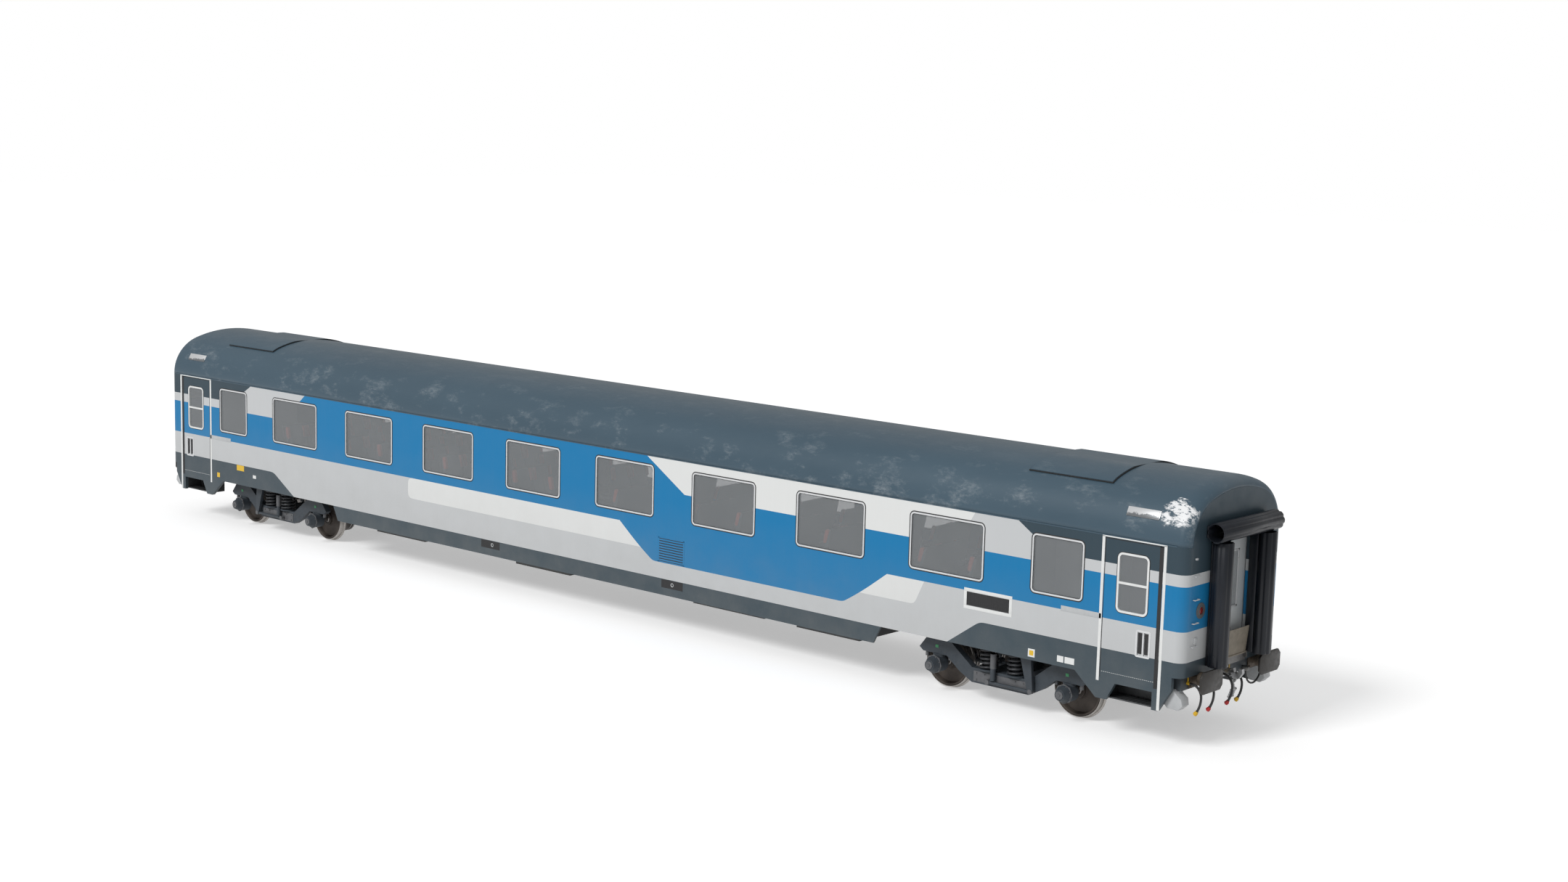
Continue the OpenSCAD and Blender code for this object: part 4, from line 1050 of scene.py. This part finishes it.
lamp_y, lamp_z = 0.96, 2.15
bezel_bm, lens_bm = bmesh.new(), bmesh.new()
turned(bezel_bm, [(0.0, body_end), (0.122, body_end), (0.125, body_end + 0.006), (0.12, body_end + 0.013),
                  (0.075, body_end + 0.014), (0.068, body_end + 0.022), (0.06, body_end + 0.022),
                  (0.058, body_end + 0.012), (0.0, body_end + 0.012)], (0, -lamp_y, lamp_z), (1, 0, 0), 40)
turned(lens_bm, [(0.0, body_end + 0.011), (0.058, body_end + 0.011), (0.05, body_end + 0.018),
                 (0.025, body_end + 0.0225), (0.0, body_end + 0.024)], (0, -lamp_y, lamp_z), (1, 0, 0), 40)
copied(bezel_bm, all_corners)
copied(lens_bm, all_corners)
bezel_grey = new_material("lamp_bezel", (0.09, 0.1, 0.11), 0.5)
wire(bezel_grey, mix(bezel_grey, grain(bezel_grey, 0.03, 5), (0.06, 0.068, 0.075), (0.15, 0.16, 0.17)), "Base Color")
lens_red = new_material("lamp_lens", (0.2, 0.012, 0.012), 0.2)
lens_rings = node(lens_red, "TexVoronoi", place(lens_red))
lens_rings.inputs["Scale"].default_value = 90
wire(lens_red, mix(lens_red, lens_rings.outputs["Distance"], (0.3, 0.02, 0.018), (0.1, 0.006, 0.006)), "Base Color")
bezels = add_object("tail_lamp_bezels", bezel_bm, bezel_grey)
lenses = add_object("tail_lamp_lenses", lens_bm, lens_red)
for piece in (bezels, lenses):
    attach(piece, "carbody")
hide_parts("tail_lamps")

socket_bm = bmesh.new()
bar(socket_bm, (body_end - 0.03, body_end + 0.02), (-1.12, -1.02), (1.65, 1.75), 0.01, 2)
rod(socket_bm, (body_end + 0.018, -1.07, 1.7), (body_end + 0.03, -1.07, 1.7), 0.03, sides=24)
bar(socket_bm, (body_end, body_end + 0.03), (-1.19, -1.14), (2.95, 2.98), 0.004)
for z in (1.62, 1.98, 2.34, 2.7):
    rod(socket_bm, (body_end + 0.035, -1.19, z), (body_end + 0.035, -1.05, z), 0.009, sides=12)
    for y in (-1.185, -1.055):
        rod(socket_bm, (body_end, y, z), (body_end + 0.035, y, z), 0.009, sides=12)
fit_everywhere("end_wall_fittings", socket_bm, enamel_grey)

cock_yellow = new_material("cock_yellow", (0.72, 0.43, 0.02), 0.4)
cock_chips = ramp(cock_yellow, grain(cock_yellow, 0.02, 6), 0.6, 0.68)
wire(cock_yellow, mix(cock_yellow, cock_chips, (0.74, 0.45, 0.02), (0.12, 0.1, 0.08)), "Base Color")
head_red = new_material("head_red", (0.5, 0.02, 0.02), 0.4)
head_chips = ramp(head_red, grain(head_red, 0.02, 6), 0.6, 0.68)
wire(head_red, mix(head_red, head_chips, (0.5, 0.02, 0.02), (0.1, 0.08, 0.07)), "Base Color")
cocks_bm = bmesh.new()
sockets_bm = bmesh.new()
heads = {"yellow": bmesh.new(), "red": bmesh.new()}
tip, before_tip = hose_route[-1], hose_route[-2]
run = Vector((tip[0] - before_tip[0], 0, tip[1] - before_tip[1])).normalized()
for hose_y, paint in hose_rows:
    root = Vector((headstock_face, hose_y, hose_route[0][1]))
    rod(cocks_bm, root, root + Vector((0.03, 0, 0)), 0.027, sides=6)
    rod(cocks_bm, root + Vector((0.028, 0, 0)), root + Vector((0.05, 0, 0)), 0.022)
    bar(cocks_bm, (root.x + 0.008, root.x + 0.022), (hose_y - 0.011, hose_y + 0.011),
        (root.z + 0.02, root.z + 0.11), 0.004, 2)
    start = Vector((headstock_face + cock_length + tip[0], hose_y, tip[1]))
    turned(heads[paint], [(0.0, -0.012), (0.024, -0.012), (0.027, 0.0), (0.027, 0.014), (0.033, 0.018), (0.033, 0.038),
                          (0.028, 0.044), (0.028, 0.058), (0.016, 0.059), (0.014, 0.05), (0.0, 0.05)],
           start, run, 24)
    side = Vector((0, 1, 0)).cross(run)
    bar_at = start + run * 0.036 + side * 0.022
    made = bar(heads[paint], (bar_at.x - 0.014, bar_at.x + 0.014), (hose_y - 0.02, hose_y + 0.02),
               (bar_at.z - 0.01, bar_at.z + 0.01), 0.003)
for y, z in (jumper_route[0], jumper_route[-1]):
    bar(sockets_bm, (headstock_face, headstock_face + 0.1), (y - 0.04, y + 0.04), (z, z + 0.07), 0.01, 2)
    rod(sockets_bm, (headstock_face + jumper_out, y, z - 0.004), (headstock_face + jumper_out, y, z + 0.01), 0.022)
for bm_ in (cocks_bm, sockets_bm, heads["yellow"], heads["red"]):
    copied(bm_, [(-1, -1, 1)])
cocks = add_object("hose_cocks_and_handles", cocks_bm, cock_yellow)
sockets = add_object("jumper_sockets", sockets_bm, plain_steel)
yellow_heads = add_object("coupling_heads_yellow", heads["yellow"], cock_yellow)
red_heads = add_object("coupling_heads_red", heads["red"], head_red)
for piece in (cocks, sockets, yellow_heads, red_heads):
    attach(piece, "carbody")
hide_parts("hose_cocks")
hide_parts("hose_heads")
painted_iron = new_material("headstock_paint", (0.05, 0.068, 0.082), 0.5)
iron_dirt = grain(painted_iron, 0.12, 6)
wire(painted_iron, mix(painted_iron, iron_dirt, (0.03, 0.04, 0.05), (0.085, 0.1, 0.11)), "Base Color")
finish_node("headstocks", painted_iron)

# ---- Bogies ----
# Cast frames in dirty dark paint with bolted axlebox covers, wound springs between rubber-faced
# plates, brake callipers over the discs, and turned wheels with a tread worn bright.
bogie_dark = new_material("bogie_paint", (0.03, 0.04, 0.052), 0.6)
brake_dust = grain(bogie_dark, 0.16, 6)
bogie_colour = mix(bogie_dark, brake_dust, (0.02, 0.028, 0.038), (0.062, 0.075, 0.088))
bogie_rust = ramp(bogie_dark, grain(bogie_dark, 0.05, 7, rough=0.7), 0.6, 0.7)
bogie_colour = mix(bogie_dark, node(bogie_dark, "Math", bogie_rust, 0.5, operation="MULTIPLY").outputs[0],
                   bogie_colour, (0.09, 0.065, 0.05))
wire(bogie_dark, bogie_colour, "Base Color")
bump(bogie_dark, grain(bogie_dark, 0.02, 4), 0.35, 0.003)
spring_dark = new_material("spring_steel", (0.02, 0.024, 0.03), 0.45, 0.3)
wire(spring_dark, mix(spring_dark, grain(spring_dark, 0.06, 6), (0.012, 0.015, 0.02), (0.05, 0.052, 0.055)),
     "Base Color")
wheel_brown = new_material("wheel_casting", (0.06, 0.048, 0.04), 0.65, 0.2)
wheel_dirt = grain(wheel_brown, 0.11, 6)
wire(wheel_brown, mix(wheel_brown, wheel_dirt, (0.036, 0.03, 0.027), (0.1, 0.08, 0.066)), "Base Color")
bump(wheel_brown, grain(wheel_brown, 0.015, 4), 0.3, 0.002)
tread_steel = new_material("worn_tread", (0.4, 0.38, 0.36), 0.3, 0.9)
wire(tread_steel, mix(tread_steel, grain(tread_steel, 0.05, 5), (0.26, 0.24, 0.22), (0.5, 0.48, 0.46)), "Base Color")
disc_steel = new_material("brake_disc", (0.3, 0.29, 0.28), 0.38, 0.85)
wire(disc_steel, mix(disc_steel, grain(disc_steel, 0.04, 5), (0.18, 0.16, 0.15), (0.38, 0.37, 0.36)), "Base Color")
cover_grey = new_material("axlebox_grey", (0.1, 0.105, 0.115), 0.5)
wire(cover_grey, mix(cover_grey, grain(cover_grey, 0.08, 6), (0.06, 0.066, 0.075), (0.16, 0.16, 0.165)), "Base Color")
mark_green = new_material("mark_green", (0.05, 0.3, 0.12), 0.5)
wire(mark_green, mix(mark_green, grain(mark_green, 0.02, 4), (0.03, 0.2, 0.08), (0.07, 0.36, 0.15)), "Base Color")


def coil(bm, centre, radius, wire_radius, low, high, turns):
    """A wound spring about a vertical line, with its ends laid flat on the plates."""
    around, steps = 8, 26
    count = int(turns * steps)
    rings = []
    for k in range(count + 1):
        share = k / count
        flat = min(1.0, max(0.0, (share * (turns + 1) - 0.5) / turns))
        height = low + wire_radius + (high - low - 2 * wire_radius) * flat
        turn = 2 * math.pi * turns * share
        ring = []
        for j in range(around):
            swing = 2 * math.pi * j / around
            far = radius + wire_radius * math.cos(swing)
            ring.append(bm.verts.new((centre[0] + far * math.cos(turn), centre[1] + far * math.sin(turn),
                                      height + wire_radius * math.sin(swing))))
        rings.append(ring)
    for one, two in zip(rings, rings[1:]):
        for j in range(around):
            bm.faces.new((one[j], one[(j + 1) % around], two[(j + 1) % around], two[j]))
    bm.faces.new(rings[0][::-1])
    bm.faces.new(rings[-1])


def closed_turn(bm, profile, centre, axis, steps):
    """A ring-like turned shape whose profile closes on itself."""
    turned(bm, list(profile) + [profile[0]], centre, axis, steps)
    bmesh.ops.remove_doubles(bm, verts=bm.verts, dist=1e-5)


track_y, axle_z, wheelbase_half, bogie_middle = 1.065, 0.473, 1.28, 9.5
for end in ends:
    body = f"bogie_{end}"
    sign = ends[end]
    at = sign * bogie_middle
    finish_node(f"bogie_frame_{end}", bogie_dark)
    finish_node(f"bogie_gear_{end}", bogie_dark)
    covers, marks, springs_bm, plates, callipers = (bmesh.new() for _ in range(5))
    for x in (-wheelbase_half, wheelbase_half):
        for side in (-1, 1):
            rod(covers, (at + x, side * 1.2, axle_z), (at + x, side * 1.216, axle_z), 0.162, sides=8)
            rod(covers, (at + x, side * 1.325, axle_z), (at + x, side * 1.343, axle_z), 0.07, sides=8)
            rod(covers, (at + x, side * 1.34, axle_z), (at + x, side * 1.35, axle_z), 0.022, sides=6)
            for k in range(8):
                turn = math.radians(22.5 + 45 * k)
                spot = Vector((at + x + 0.13 * math.cos(turn), 0, axle_z + 0.13 * math.sin(turn)))
                rod(covers, spot + Vector((0, side * 1.214, 0)), spot + Vector((0, side * 1.232, 0)), 0.014, sides=6)
            bar(marks, (at + x - 0.03, at + x + 0.03), sorted((side * 1.128, side * 1.134)), (0.74, 0.79), 0.001)
            # rubber bump stop and guide over each axlebox
            for spread in (-0.235, 0.235):
                rod(covers, (at + x + spread, side * track_y, 0.56), (at + x + spread, side * track_y, 0.645), 0.035)
    for x in (-0.27, 0.27):
        for side in (-1, 1):
            coil(springs_bm, (at + x, side * track_y), 0.14, 0.019, 0.57, 0.93, 5.5)
            coil(springs_bm, (at + x, side * track_y), 0.085, 0.012, 0.57, 0.93, 8)
            for low, high in ((0.545, 0.57), (0.93, 0.955)):
                turned(plates, [(0.0, low), (0.158, low), (0.165, low + 0.005), (0.165, high - 0.005), (0.158, high),
                                (0.0, high)], (at + x, side * track_y, 0), (0, 0, 1), 32)
            rod(plates, (at + x, side * track_y, 0.57), (at + x, side * track_y, 0.76), 0.05)
    for side in (-1, 1):
        # stiffening plates, bolts and the damper's turned eyes on the frame's outside
        bar(covers, (at - 0.52, at + 0.52), sorted((side * 1.128, side * 1.138)), (0.33, 0.5), 0.003)
        for x in (-0.46, -0.3, 0.3, 0.46):
            for z in (0.36, 0.47):
                rod(covers, (at + x, side * 1.136, z), (at + x, side * 1.15, z), 0.013, sides=6)
        rod(covers, (at - sign * 0.1, side * 1.19, 0.62), (at - sign * 0.1, side * 1.19, 0.86), 0.052)
        for x in (-0.2, 0.64):
            rod(covers, (at + sign * x, side * 1.155, 0.38), (at + sign * x, side * 1.225, 0.38), 0.042)
        for x in (-1, 1):
            for y0, y1 in ((0.262, 0.291), (0.409, 0.438)):
                bar(callipers, sorted((at + x * 0.3, at + x * 1.0)), sorted((side * y0, side * y1)), (0.44, 0.5),
                    0.006, 2)
                bar(callipers, sorted((at + x * 0.99, at + x * 1.09)), sorted((side * y0, side * y1)), (0.38, 0.58),
                    0.008, 2)
            rod(callipers, (at + x * 0.62, side * 0.2, 0.49), (at + x * 0.62, side * 0.5, 0.49), 0.055)
    for name, bm_, material, slot in ((f"axlebox_covers_{end}", covers, cover_grey, "bogie_paint"),
                                      (f"frame_marks_{end}", marks, mark_green, "bogie_paint"),
                                      (f"wound_springs_{end}", springs_bm, spring_dark, "spring_steel"),
                                      (f"spring_plates_{end}", plates, bogie_dark, "spring_steel"),
                                      (f"brake_callipers_{end}", callipers, bogie_dark, "bogie_paint")):
        piece = add_object(name, bm_, material)
        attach(piece, body)
        if name.startswith("wound"):
            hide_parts(f"coil_springs_{end}")

inner_face, rim = 0.68, 0.135
for number in range(1, 5):
    low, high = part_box(f"wheelset_{number}")
    middle = ((low.x + high.x) / 2, 0, axle_z)
    castings, treads, axle = bmesh.new(), bmesh.new(), bmesh.new()
    for side in (-1, 1):
        closed_turn(castings, [(0.085, inner_face - 0.015), (0.085, inner_face + rim + 0.02),
                               (0.128, inner_face + rim + 0.02), (0.135, inner_face + rim + 0.013),
                               (0.135, inner_face + rim - 0.03), (0.16, inner_face + 0.075),
                               (0.27, inner_face + 0.055), (0.37, inner_face + 0.06), (0.385, inner_face + rim - 0.01),
                               (0.395, inner_face + rim), (0.43, inner_face + rim), (0.43, inner_face + 0.002),
                               (0.395, inner_face), (0.385, inner_face + 0.02), (0.37, inner_face + 0.032),
                               (0.27, inner_face + 0.028), (0.16, inner_face + 0.045), (0.135, inner_face - 0.015)],
                    middle, (0, side, 0), 72)
        closed_turn(treads, [(0.42, inner_face + 0.001), (0.42, inner_face + rim), (0.441, inner_face + rim),
                             (0.445, inner_face + rim - 0.006), (0.445, inner_face + 0.07),
                             (0.447, inner_face + 0.034), (0.456, inner_face + 0.028), (0.468, inner_face + 0.025),
                             (0.473, inner_face + 0.019), (0.472, inner_face + 0.012), (0.465, inner_face + 0.005),
                             (0.45, inner_face + 0.001)], middle, (0, side, 0), 72)
        # ventilated disc: two rubbing faces, the vanes between them and the bolted hub
        for y0, y1 in ((0.3, 0.335), (0.365, 0.4)):
            closed_turn(axle, [(0.15, y0), (0.301, y0), (0.305, y0 + 0.004), (0.305, y1 - 0.004), (0.301, y1),
                               (0.15, y1)], middle, (0, side, 0), 56)
        closed_turn(axle, [(0.08, 0.31), (0.145, 0.31), (0.145, 0.39), (0.08, 0.39)], middle, (0, side, 0), 40)
        for k in range(20):
            turn = 2 * math.pi * k / 20
            spot = Vector((middle[0] + 0.225 * math.cos(turn), 0, axle_z + 0.225 * math.sin(turn)))
            rod(axle, spot + Vector((0, side * 0.334, 0)), spot + Vector((0, side * 0.366, 0)), 0.02, sides=8)
        for k in range(8):
            turn = 2 * math.pi * k / 8
            spot = Vector((middle[0] + 0.12 * math.cos(turn), 0, axle_z + 0.12 * math.sin(turn)))
            rod(axle, spot + Vector((0, side * 0.388, 0)), spot + Vector((0, side * 0.402, 0)), 0.012, sides=6)
    turned(axle, [(0.0, -1.16), (0.06, -1.16), (0.065, -1.155), (0.065, -0.84), (0.085, -0.82), (0.085, 0.82),
                  (0.065, 0.84), (0.065, 1.155), (0.06, 1.16), (0.0, 1.16)], middle, (0, 1, 0), 40)
    for name, bm_, material in (("wheel_castings", castings, wheel_brown), ("wheel_treads", treads, tread_steel),
                                ("axle_and_discs", axle, disc_steel)):
        piece = add_object(f"{name}_{number}", bm_, material)
        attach(piece, f"wheelset_{number}")
        if name == "wheel_castings":
            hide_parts(f"wheelset_{number}")

# ---- Underframe and equipment ----
# Road-dirty steel under the floor: equipment cases with framed, latched doors, and two strapped
# air tanks with domed ends.
road_dirty = new_material("road_dirty_steel", (0.05, 0.052, 0.054), 0.7)
road_dust = grain(road_dirty, 0.3, 6)
wire(road_dirty, mix(road_dirty, road_dust, (0.028, 0.03, 0.032), (0.1, 0.092, 0.082)), "Base Color")
bump(road_dirty, grain(road_dirty, 0.03, 4), 0.3, 0.002)
case_grey = new_material("case_grey", (0.07, 0.08, 0.09), 0.6)
wire(case_grey, mix(case_grey, grain(case_grey, 0.25, 6), (0.045, 0.052, 0.06), (0.12, 0.118, 0.11)), "Base Color")
finish_node("underframe", road_dirty)
pins_bm = bmesh.new()
pin_low, pin_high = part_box("pivot_pins")
for x in (-bogie_middle, bogie_middle):
    turned(pins_bm, [(0.0, pin_low.z), (0.05, pin_low.z), (0.067, pin_low.z + 0.02), (0.067, pin_high.z - 0.1),
                     (0.067, pin_high.z), (0.0, pin_high.z)], (x, 0, 0), (0, 0, 1), 40)
pins = add_object("greased_pivot_pins", pins_bm, greased)
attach(pins, "carbody")
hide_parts("pivot_pins")
finish_node("equipment_boxes", case_grey)
case_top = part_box("equipment_boxes")[1].z
case_doors, latches = bmesh.new(), bmesh.new()
for centre, length, height in ((-5.4, 1.5, 0.43), (-3.3, 1.3, 0.4), (-1.2, 1.5, 0.44), (3.6, 1.7, 0.42), (5.9, 1.4, 0.43)):
    halves = 2 if length > 1.45 else 1
    for k in range(halves):
        x0 = centre - length / 2 + 0.03 + k * (length / halves)
        x1 = x0 + length / halves - 0.06
        z0, z1 = case_top - height + 0.03, case_top - 0.03
        bar(case_doors, (x0, x1), (-1.158, -1.148), (z0, z1), 0.004, 2)
        bar(case_doors, (x0 + 0.06, x1 - 0.06), (-1.163, -1.15), (z0 + 0.06, z1 - 0.06), 0.004, 2)
        for x in (x0 + 0.1, x1 - 0.1):
            rod(latches, (x, -1.158, z0 + 0.03), (x, -1.172, z0 + 0.03), 0.016, sides=16)
            bar(latches, (x - 0.03, x + 0.03), (-1.18, -1.17), (z0 + 0.024, z0 + 0.036), 0.002)
            rod(latches, (x - 0.05, -1.16, z1 + 0.004), (x + 0.05, -1.16, z1 + 0.004), 0.009, sides=12)
copied(case_doors, both_sides)
copied(latches, both_sides)
for name, bm_, material, slot in (("equipment_case_doors", case_doors, case_grey, "equipment_paint"),
                                  ("equipment_case_latches", latches, plain_steel, "equipment_paint")):
    piece = add_object(name, bm_, material)
    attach(piece, "carbody")
tanks_bm, straps_bm = bmesh.new(), bmesh.new()
dome = [(0.19 * math.sin(math.radians(a)), 0.09 * (1 - math.cos(math.radians(a)))) for a in range(0, 91, 15)]
tank_profile = [(r, 0.4 + far) for r, far in dome] + [(r, 2.2 - far) for r, far in reversed(dome)]
for y in (-0.5, 0.5):
    turned(tanks_bm, tank_profile, (0, y, 0.72), (1, 0, 0), 40)
    rod(tanks_bm, (1.3, y, 0.55), (1.3, y, 0.52), 0.02)
    for x in (0.7, 1.9):
        closed_turn(straps_bm, [(0.188, x - 0.03), (0.196, x - 0.03), (0.196, x + 0.03), (0.188, x + 0.03)],
                    (0, y, 0.72), (1, 0, 0), 40)
        bar(straps_bm, (x - 0.03, x + 0.03), (y - 0.06, y + 0.06), (0.905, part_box("air_tanks")[1].z), 0.004)
tanks = add_object("air_tanks_domed", tanks_bm, case_grey)
straps = add_object("air_tank_straps", straps_bm, road_dirty)
for piece in (tanks, straps):
    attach(piece, "carbody")
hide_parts("air_tanks")

# ---- Interior ----
# Rows of upholstered seat pairs that face the middle, red head bolsters, laminate walls and
# ceiling with light strips, tubular-edged luggage racks and a flecked floor.
floor_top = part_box("floor")[1].z
fleck = new_material("floor_covering", (0.12, 0.14, 0.16), 0.5)
fleck_cells = node(fleck, "TexVoronoi", place(fleck))
fleck_cells.inputs["Scale"].default_value = 160
wire(fleck, mix(fleck, fleck_cells.outputs["Distance"], (0.16, 0.18, 0.2), (0.07, 0.08, 0.095)), "Base Color")
finish_node("floor", fleck)
laminate = new_material("interior_laminate", (0.55, 0.56, 0.55), 0.4)
wire(laminate, mix(laminate, grain(laminate, 0.4, 5), (0.5, 0.51, 0.5), (0.6, 0.61, 0.6)), "Base Color")
bump(laminate, grain(laminate, 0.006, 3), 0.1, 0.0005)
finish_node("partitions", laminate)
finish_node("ceiling", laminate)
finish_node("luggage_racks", plain_steel)
shell_grey = new_material("seat_shell", (0.05, 0.052, 0.056), 0.45)
wire(shell_grey, mix(shell_grey, grain(shell_grey, 0.1, 5), (0.038, 0.04, 0.043), (0.07, 0.072, 0.075)), "Base Color")
finish_node("seat_stands", shell_grey)


def woven(name, dark, light):
    """Wool moquette: fine cross ribs with a little unevenness between bundles."""
    material = new_material(name, dark, 0.9)
    rows = [node(material, "TexWave", place(material), bands_direction=way) for way in "YZ"]
    for row in rows:
        row.inputs["Scale"].default_value = 60
    ribs = node(material, "Math", rows[0].outputs["Color"], rows[1].outputs["Color"], operation="MULTIPLY").outputs[0]
    tone = mix(material, grain(material, 0.05, 5), dark, light)
    wire(material, tone, "Base Color")
    bump(material, ribs, 0.4, 0.0008)
    material.node_tree.nodes["Principled BSDF"].inputs["Sheen Weight"].default_value = 0.3
    return material


def pillow(bm, low, high, crown, channels=(), way=None):
    """An upholstered block: rounded, crowned on its +Z face, with sides pulled in and sewn channels."""
    part = bmesh.new()
    bmesh.ops.create_cube(part, size=2)
    bmesh.ops.subdivide_edges(part, edges=part.edges, cuts=7, use_grid_fill=True)
    low, high = Vector(low), Vector(high)
    middle, half = (low + high) / 2, (high - low) / 2
    for vert in part.verts:
        u, v, w = vert.co
        far = (abs(u) ** 7 + abs(v) ** 7 + abs(w) ** 7) ** (1 / 7)
        x, y, z = u / far, v / far, w / far
        x *= 1 - 0.025 * (1 - v * v)
        y *= 1 - 0.025 * (1 - u * u)
        rise = 0.0
        if w > 0:
            rise = -crown + crown * (1 - u ** 4) * (1 - v ** 4)
            for channel in channels:
                rise -= 0.35 * crown if abs(u - channel) < 0.13 else 0.0
        vert.co = Vector((middle.x + half.x * x, middle.y + half.y * y, middle.z + half.z * z + rise * min(1, w)))
    join_in(bm, part, way)


seat_cloth = woven("seat_cloth", (0.045, 0.06, 0.085), (0.075, 0.092, 0.12))
bolster_cloth = woven("bolster_cloth", (0.42, 0.06, 0.03), (0.55, 0.1, 0.05))
cushions_bm, backs_bm, bolsters_bm, arms_bm = (bmesh.new() for _ in range(4))
lean = Matrix.Translation((-0.215, 0, 0.38)) @ Matrix.Rotation(math.radians(-12), 4, "Y")
stand_up = Matrix.Rotation(math.radians(90), 4, "Y")
for row in range(18):
    x = row * 1.01 - 8.585
    for side in (-1, 1):
        spot = Matrix.Translation((x, side * 0.8175, floor_top))
        if x > 0:
            spot = spot @ Matrix.Rotation(math.pi, 4, "Z")
        for seat in (-0.2475, 0.2475):
            pillow(cushions_bm, (-0.2, seat - 0.238, 0.31), (0.27, seat + 0.238, 0.44), 0.012, (-0.25, 0.25), spot)
            # the back is the same block stood up: its +Z face looks forward
            pillow(backs_bm, (-0.76, seat - 0.238, -0.108), (-0.002, seat + 0.238, 0.0), 0.012, (-0.5, 0.0, 0.5),
                   spot @ lean @ stand_up)
            for edge_y in (-0.2, 0.2):
                pillow(bolsters_bm, (-0.75, seat + edge_y - 0.036, -0.06), (-0.5, seat + edge_y + 0.036, 0.028),
                       0.006, (), spot @ lean @ stand_up)
        for y in (-0.495, 0.0, 0.495):
            part = bmesh.new()
            bar(part, (-0.23, 0.16), (y - 0.018, y + 0.018), (0.60, 0.635), 0.01, 2)
            bar(part, (0.10, 0.13), (y - 0.012, y + 0.012), (0.44 if y else 0.43, 0.61), 0.004)
            join_in(arms_bm, part, spot)
cushions = add_object("seat_cushions_sewn", cushions_bm, seat_cloth)
backs = add_object("seat_backs_sewn", backs_bm, seat_cloth)
bolsters = add_object("head_bolsters", bolsters_bm, bolster_cloth)
for piece in (cushions, backs, bolsters):
    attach(piece, "carbody")
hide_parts("seat_cushions")
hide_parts("seat_backs")
arms = add_object("seat_arms", arms_bm, shell_grey)
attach(arms, "carbody")
strips_bm, rails_bm = bmesh.new(), bmesh.new()
ceiling_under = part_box("ceiling")[0].z
bar(strips_bm, (-9.6, 9.6), (-0.62, -0.5), (ceiling_under - 0.03, ceiling_under + 0.002), 0.012, 3)
copied(strips_bm, both_sides)
rod(rails_bm, (-9.88, -0.975, 3.105), (9.88, -0.975, 3.105), 0.016)
for k in range(20):
    x = -9.5 + k
    bar(rails_bm, (x - 0.012, x + 0.012), (-1.335, -0.985), (3.055, 3.082), 0.003)
copied(rails_bm, both_sides)
strip_white = new_material("light_strip", (0.8, 0.8, 0.78), 0.3)
wire(strip_white, mix(strip_white, grain(strip_white, 0.3, 3), (0.76, 0.76, 0.74), (0.84, 0.84, 0.82)), "Base Color")
for name, bm_, material, slot in (("ceiling_light_strips", strips_bm, strip_white, "interior_panel"),
                                  ("luggage_rack_rails", rails_bm, plain_steel, "interior_panel")):
    piece = add_object(name, bm_, material)
    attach(piece, "carbody")

low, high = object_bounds()
